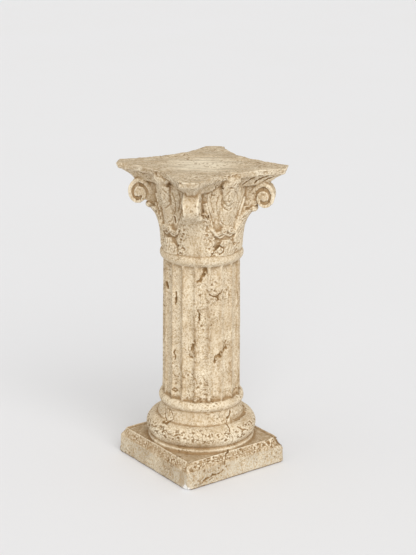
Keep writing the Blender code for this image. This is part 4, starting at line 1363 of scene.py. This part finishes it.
def store_relief(mesh, points, edges, counts, top):
    """Notes how sunk and how worn each place is, by how it lies against its surroundings, with painted light
    on the middle of the abacus's top.
    """
    normals = mesh_normals(mesh)
    near = smoothed(points, edges, counts, 8)
    far = smoothed(near, edges, counts, 80)
    fine = row_dots(points - near, normals)
    wide = row_dots(points - far, normals)
    recess = 0.65 * np.clip(-fine / 0.0006, 0.0, 1.0) + 0.6 * np.clip(-wide / 0.0032, 0.0, 1.0)
    store(mesh, "recess", smoothed(np.clip(recess, 0.0, 1.0), edges, counts, 1))
    shaft = band(points[:, 2], SHAFT_FOOT, SHAFT_FOOT + 0.01, ASTRAGAL_FOOT - 0.01, ASTRAGAL_FOOT)
    worn = np.clip(fine / 0.0005, 0.0, 1.0) * (1.0 - 0.85 * shaft)
    worn *= mix(0.25, 1.0, smooth_step(points[:, 2], PLINTH_FACE_HEIGHT, PLINTH_FACE_HEIGHT + 0.004))
    # The pale middle of the abacus's top is wear, and partly painted light of its dish.
    lit_and_rubbed_middle = top * (1.0 - smooth_step(np.hypot(points[:, 0], points[:, 1]), 0.015, 0.125))
    crest = on_crest(points) * (0.75 + 0.5 * noise(points, 0.010, 67))
    store(mesh, "worn", np.clip(np.maximum.reduce([worn, 0.95 * lit_and_rubbed_middle, crest]), 0.0, 1.0))
    level = smooth_step(points[:, 2], TOP - 0.006, TOP - 0.003) * smooth_step(normals[:, 2], 0.5, 0.8)
    store(mesh, "top", level)


def weather(piece):
    """Works carving, wear and damage into the fused mesh, and notes where they lie."""
    mesh = piece.data
    points = mesh_points(mesh)
    edges = mesh_edges(mesh)
    counts = np.bincount(edges.ravel(), minlength=len(points)).astype(np.float64)
    outward = points * np.array([1.0, 1.0, 0.0])
    outward /= np.maximum(np.linalg.norm(outward, axis=1), 1e-6)[:, None]
    points += outward * carving(points)[:, None]
    set_points(mesh, points)
    normals = mesh_normals(mesh)
    points = uneven(points, normals, edges, counts, outward)
    coarse, small, worms = pitting(points)
    scar_and_shade_dark, scar_depth = scars(points)
    wash = stains_and_painted_shade(points)
    pitted = COARSE_PIT_DEPTH * coarse + SMALL_PIT_DEPTH * small + WORM_DEPTH * worms
    points -= normals * (pitted + scar_depth + chipped(points))[:, None]
    top = on_top(points)
    points[:, 2] -= dished(points)
    points = in_box(points)
    points[points[:, 2] < FLAT_FOOT, 2] = 0.0
    set_points(mesh, points)
    store_relief(mesh, points, edges, counts, top)
    # The arches at the flutes' feet are darkened as dirt and as painted shade.
    arches = 0.9 * foot_arches(points) * smooth_step(noise(points, 0.012, 69), -0.7, 0.1)
    store(mesh, "pit_and_arch_shade", np.clip(coarse * 1.6 + small * 1.3 + worms * 0.75 + arches, 0.0, 1.0))
    # Dark in cracks and torn patches, with painted shade in one crevice and a painted shadow along the
    # plinth's foot.
    store(mesh, "scar_and_shade", scar_and_shade_dark)
    # The wash also holds painted shade: beside each arris, on the plinth's bevel in shade, round the dished
    # top and in the arches at the flutes' feet.
    store(mesh, "wash", wash)
    chip = spot_distance(ragged(points), BARE_CHIP, BARE_CHIP_REACH)
    store(mesh, "bare", 1.0 - smooth_step(chip, 0.75, 1.0))


OCCLUSION_RAYS = 14
OCCLUSION_REACH = 0.035
OCCLUSION_CLEARANCE = 0.0008


def occlusion(mesh):
    """How shut in each point is, from 0 to 1: the share of short rays that meet the casting close by."""
    tree = BVHTree.FromPolygons(
        [vertex.co for vertex in mesh.vertices], [tuple(face.vertices) for face in mesh.polygons])
    golden = math.pi * (3.0 - math.sqrt(5.0))
    rays = []
    for ray in range(OCCLUSION_RAYS):
        rise = math.sqrt(1.0 - (ray + 0.5) / OCCLUSION_RAYS)
        flat = math.sqrt(1.0 - rise * rise)
        rays.append(Vector((flat * math.cos(golden * ray), flat * math.sin(golden * ray), rise)))
    shut = np.zeros(len(mesh.vertices))
    for index, vertex in enumerate(mesh.vertices):
        turn = vertex.normal.to_track_quat("Z", "Y")
        start = vertex.co + vertex.normal * OCCLUSION_CLEARANCE
        for ray in rays:
            distance = tree.ray_cast(start, turn @ ray, OCCLUSION_REACH)[3]
            if distance is not None:
                shut[index] += 1.0 - distance / OCCLUSION_REACH
    return shut / OCCLUSION_RAYS


def thinned(piece):
    """Leaves out points where the surface is plain, and notes how shut in each point is that stays."""
    mesh = piece.data
    mesh.calc_loop_triangles()
    decimate = piece.modifiers.new("decimate", "DECIMATE")
    decimate.ratio = MOST_TRIANGLES / len(mesh.loop_triangles)
    light = evaluated_mesh(piece)
    piece.modifiers.clear()
    piece.data = light
    set_points(light, in_box(mesh_points(light)))
    light.shade_smooth()
    store(light, "shut", occlusion(light))


class Shading:
    """Short ways to add nodes to one material."""

    def __init__(self, name):
        self.material = bpy.data.materials.new(name)
        self.material.use_nodes = True
        self.tree = self.material.node_tree
        self.shader = self.tree.nodes["Principled BSDF"]
        self.place = self.tree.nodes.new("ShaderNodeTexCoord").outputs["Object"]
        self.colour = None

    def attribute(self, name):
        node = self.tree.nodes.new("ShaderNodeAttribute")
        node.attribute_name = name
        return node.outputs["Fac"]

    def feed(self, socket, value):
        if isinstance(value, bpy.types.NodeSocket):
            self.tree.links.new(value, socket)
        else:
            socket.default_value = value

    def blend(self, low, high, factor):
        node = self.tree.nodes.new("ShaderNodeMix")
        node.data_type = "RGBA"
        self.feed(node.inputs[0], factor)
        self.feed(node.inputs[6], low)
        self.feed(node.inputs[7], high)
        return node.outputs[2]

    def coat(self, colour, factor):
        """Lays a colour over the ones before it."""
        self.colour = self.blend(self.colour, colour, factor)

    def span(self, value, low, high, floor=0.0, ceiling=1.0):
        node = self.tree.nodes.new("ShaderNodeMapRange")
        self.feed(node.inputs["Value"], value)
        self.feed(node.inputs["From Min"], low)
        self.feed(node.inputs["From Max"], high)
        self.feed(node.inputs["To Min"], floor)
        self.feed(node.inputs["To Max"], ceiling)
        return node.outputs["Result"]

    def maths(self, operation, first, second):
        node = self.tree.nodes.new("ShaderNodeMath")
        node.operation = operation
        self.feed(node.inputs[0], first)
        self.feed(node.inputs[1], second)
        return node.outputs["Value"]

    def times(self, first, *others):
        for other in others:
            first = self.maths("MULTIPLY", first, other)
        return first

    def height(self):
        node = self.tree.nodes.new("ShaderNodeSeparateXYZ")
        self.feed(node.inputs["Vector"], self.place)
        return node.outputs["Z"]

    def stretched(self, turn, scale):
        node = self.tree.nodes.new("ShaderNodeMapping")
        node.vector_type = "TEXTURE"
        self.feed(node.inputs["Vector"], self.place)
        node.inputs["Rotation"].default_value = (0.0, 0.0, turn)
        node.inputs["Scale"].default_value = scale
        return node.outputs["Vector"]

    def cloud(self, scale, detail=4.0, roughness=0.55, place=None):
        node = self.tree.nodes.new("ShaderNodeTexNoise")
        node.inputs["Scale"].default_value = scale
        node.inputs["Detail"].default_value = detail
        node.inputs["Roughness"].default_value = roughness
        self.feed(node.inputs["Vector"], place or self.place)
        return node.outputs["Fac"]


CREAM = (0.775, 0.675, 0.515, 1.0)
PALE = (0.88, 0.79, 0.62, 1.0)
TAN = (0.52, 0.39, 0.235, 1.0)
BROWN = (0.32, 0.20, 0.092, 1.0)
DARK = (0.17, 0.095, 0.035, 1.0)
GREY = (0.42, 0.34, 0.235, 1.0)
STONE = (0.625, 0.585, 0.485, 1.0)
UMBER = (0.235, 0.140, 0.058, 1.0)
WHITE = (0.90, 0.89, 0.87, 1.0)
STREAK_TURN = math.atan2(0.804, 0.594)


def plaster_material():
    """Cream plaster under a brown wash that stays in the recesses, pits and cracks, with painted shade in a
    few places and painted light in the middle of the top.
    """
    made = Shading("antiqued_plaster")
    shader = made.shader
    shader.inputs["Specular IOR Level"].default_value = 0.25
    speckle = made.cloud(430.0, 3.0, 0.6)
    grain = made.cloud(230.0, 4.0, 0.62)
    broad = made.cloud(16.0, 4.0, 0.6)
    dense = made.cloud(38.0, 4.0, 0.6)
    brushed = made.cloud(120.0, 4.0, 0.6, made.stretched(0.0, (1.0, 1.0, 4.5)))
    streaks = made.cloud(105.0, 5.0, 0.65, made.stretched(STREAK_TURN, (10.0, 1.0, 1.0)))
    speckled = made.times(made.span(speckle, 0.53, 0.64), made.span(dense, 0.40, 0.60, 0.10, 0.95))
    made.colour = made.blend(CREAM, TAN, made.span(broad, 0.46, 0.78, 0.0, 0.6))
    made.coat(STONE, made.span(made.height(), PLINTH_FACE_HEIGHT, PLINTH_FACE_HEIGHT - 0.004, 0.0, 0.75))
    made.coat(PALE, made.span(made.cloud(27.0, 4.0, 0.6), 0.50, 0.66, 0.0, 0.75))
    made.coat(TAN, made.span(grain, 0.47, 0.62, 0.0, 0.95))
    made.coat(TAN, made.span(brushed, 0.52, 0.70, 0.0, 0.55))
    made.coat(BROWN, speckled)
    # The wash also carries painted shade: beside each arris, on the plinth's bevel in shade, round the edge
    # of the dished top and in the arches at the flutes' feet.
    made.coat(BROWN, made.times(made.attribute("wash"), made.span(brushed, 0.30, 0.62, 0.45, 1.0), 0.85))
    # Pale where worn, and on the middle of the abacus's top also painted light.
    made.coat(PALE, made.span(made.attribute("worn"), 0.2, 0.9, 0.0, 0.75))
    made.coat(GREY, made.times(made.span(streaks, 0.47, 0.60, 0.0, 0.75), made.attribute("top")))
    recess = made.span(made.attribute("recess"), 0.08, 0.62)
    made.coat(BROWN, made.times(recess, made.span(dense, 0.25, 0.6, 0.65, 1.0), 0.85))
    shut = made.span(made.attribute("shut"), 0.10, 0.62)
    made.coat(BROWN, made.times(shut, made.span(dense, 0.2, 0.6, 0.6, 1.0), 0.72))
    # Dark in pits, and in the arches at the flutes' feet also painted shade.
    made.coat(UMBER, made.span(made.attribute("pit_and_arch_shade"), 0.15, 0.75, 0.0, 0.85))
    # Dark in cracks and torn patches, with painted shade in one crevice under the abacus and a painted shadow
    # along the plinth's foot.
    scar_and_shade = made.attribute("scar_and_shade")
    made.coat(BROWN, made.span(scar_and_shade, 0.04, 0.45))
    made.coat(DARK, made.span(scar_and_shade, 0.45, 0.95, 0.0, 0.85))
    made.coat(WHITE, made.attribute("bare"))
    made.feed(shader.inputs["Base Color"], made.colour)
    made.feed(shader.inputs["Roughness"], made.span(speckle, 0.3, 0.7, 0.78, 0.95))
    bump = made.tree.nodes.new("ShaderNodeBump")
    bump.inputs["Strength"].default_value = 0.6
    bump.inputs["Distance"].default_value = 0.0012
    made.feed(bump.inputs["Height"], made.maths("SUBTRACT", grain, made.times(speckled, 0.8)))
    made.feed(shader.inputs["Normal"], bump.outputs["Normal"])
    return made.material


def build_casting():
    casting = fused("column_cast", all_forms())
    weather(casting)
    thinned(casting)
    casting.data.materials.clear()
    casting.data.materials.append(plaster_material())
    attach(casting, "root")
    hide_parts("column")


FLOOR_REACH = 40.0
FLOOR_COLOURS = ((0.78, 0.79, 0.815, 1.0), (0.79, 0.80, 0.835, 1.0))


def floor_material():
    made = Shading("pale_floor")
    made.feed(made.shader.inputs["Base Color"], made.blend(*FLOOR_COLOURS, made.cloud(1.3, 2.0, 0.5)))
    made.shader.inputs["Roughness"].default_value = 0.7
    made.shader.inputs["Specular IOR Level"].default_value = 0.2
    return made.material


def build_stage():
    corners = [(-1.0, -1.0), (1.0, -1.0), (1.0, 1.0), (-1.0, 1.0)]
    mesh = bpy.data.meshes.new("floor")
    mesh.from_pydata([(x * FLOOR_REACH, y * FLOOR_REACH, 0.0) for x, y in corners], [], [(0, 1, 2, 3)])
    mesh.materials.append(floor_material())
    floor = bpy.data.objects.new("floor", mesh)
    bpy.context.scene.collection.objects.link(floor)


# Lights: direction that each comes from, strength, spread in degrees and colour.
SUNS = {
    "window": ((0.77, -0.26, 0.57), 2.02, 55.0, (1.0, 0.985, 0.96)),
    "bounce": ((-0.25, -0.90, 0.20), 0.32, 70.0, (1.0, 0.88, 0.66)),
}
SKY_COLOUR = (1.0, 0.985, 0.955, 1.0)
SKY_STRENGTH = 0.66


def build_lights():
    """An even pale sky, one soft light from the right, in front and above, and a warm one from the left."""
    world = bpy.data.worlds.new("studio")
    world.use_nodes = True
    world.node_tree.nodes["Background"].inputs["Color"].default_value = SKY_COLOUR
    world.node_tree.nodes["Background"].inputs["Strength"].default_value = SKY_STRENGTH
    bpy.context.scene.world = world
    for name, (source, strength, spread, colour) in SUNS.items():
        light = bpy.data.lights.new(name, "SUN")
        light.energy = strength
        light.angle = math.radians(spread)
        light.color = colour
        lamp = bpy.data.objects.new(name, light)
        lamp.rotation_euler = Vector(source).to_track_quat("Z", "Y").to_euler()
        bpy.context.scene.collection.objects.link(lamp)


# The camera that the photograph was taken with, fitted to the corners and rings of the column.
CAMERA_PLACE = Vector((2.4822, -1.8169, 1.3796))
CAMERA_LOOK = math.radians(53.53)
CAMERA_PITCH = math.radians(17.03)
CAMERA_ROLL = math.radians(-0.272)
CAMERA_FOCAL_PIXELS = 1430.0
PHOTO_HEIGHT_PIXELS = 555.0
SENSOR = 36.0


def build_camera():
    ahead = Vector((-math.sin(CAMERA_LOOK), math.cos(CAMERA_LOOK), 0.0))
    forward = ahead * math.cos(CAMERA_PITCH) - UP * math.sin(CAMERA_PITCH)
    right = forward.cross(UP).normalized()
    upward = right.cross(forward)
    across = right * math.cos(CAMERA_ROLL) - upward * math.sin(CAMERA_ROLL)
    above = right * math.sin(CAMERA_ROLL) + upward * math.cos(CAMERA_ROLL)
    turn = Matrix((across, above, -forward)).transposed().to_4x4()
    lens = bpy.data.cameras.new("camera")
    lens.sensor_width = SENSOR
    lens.lens = CAMERA_FOCAL_PIXELS / PHOTO_HEIGHT_PIXELS * SENSOR
    camera = bpy.data.objects.new("camera", lens)
    camera.matrix_world = Matrix.Translation(CAMERA_PLACE) @ turn
    bpy.context.scene.collection.objects.link(camera)
    bpy.context.scene.camera = camera


build_camera()
build_casting()
build_stage()
build_lights()
bpy.context.scene.view_settings.view_transform = "Standard"
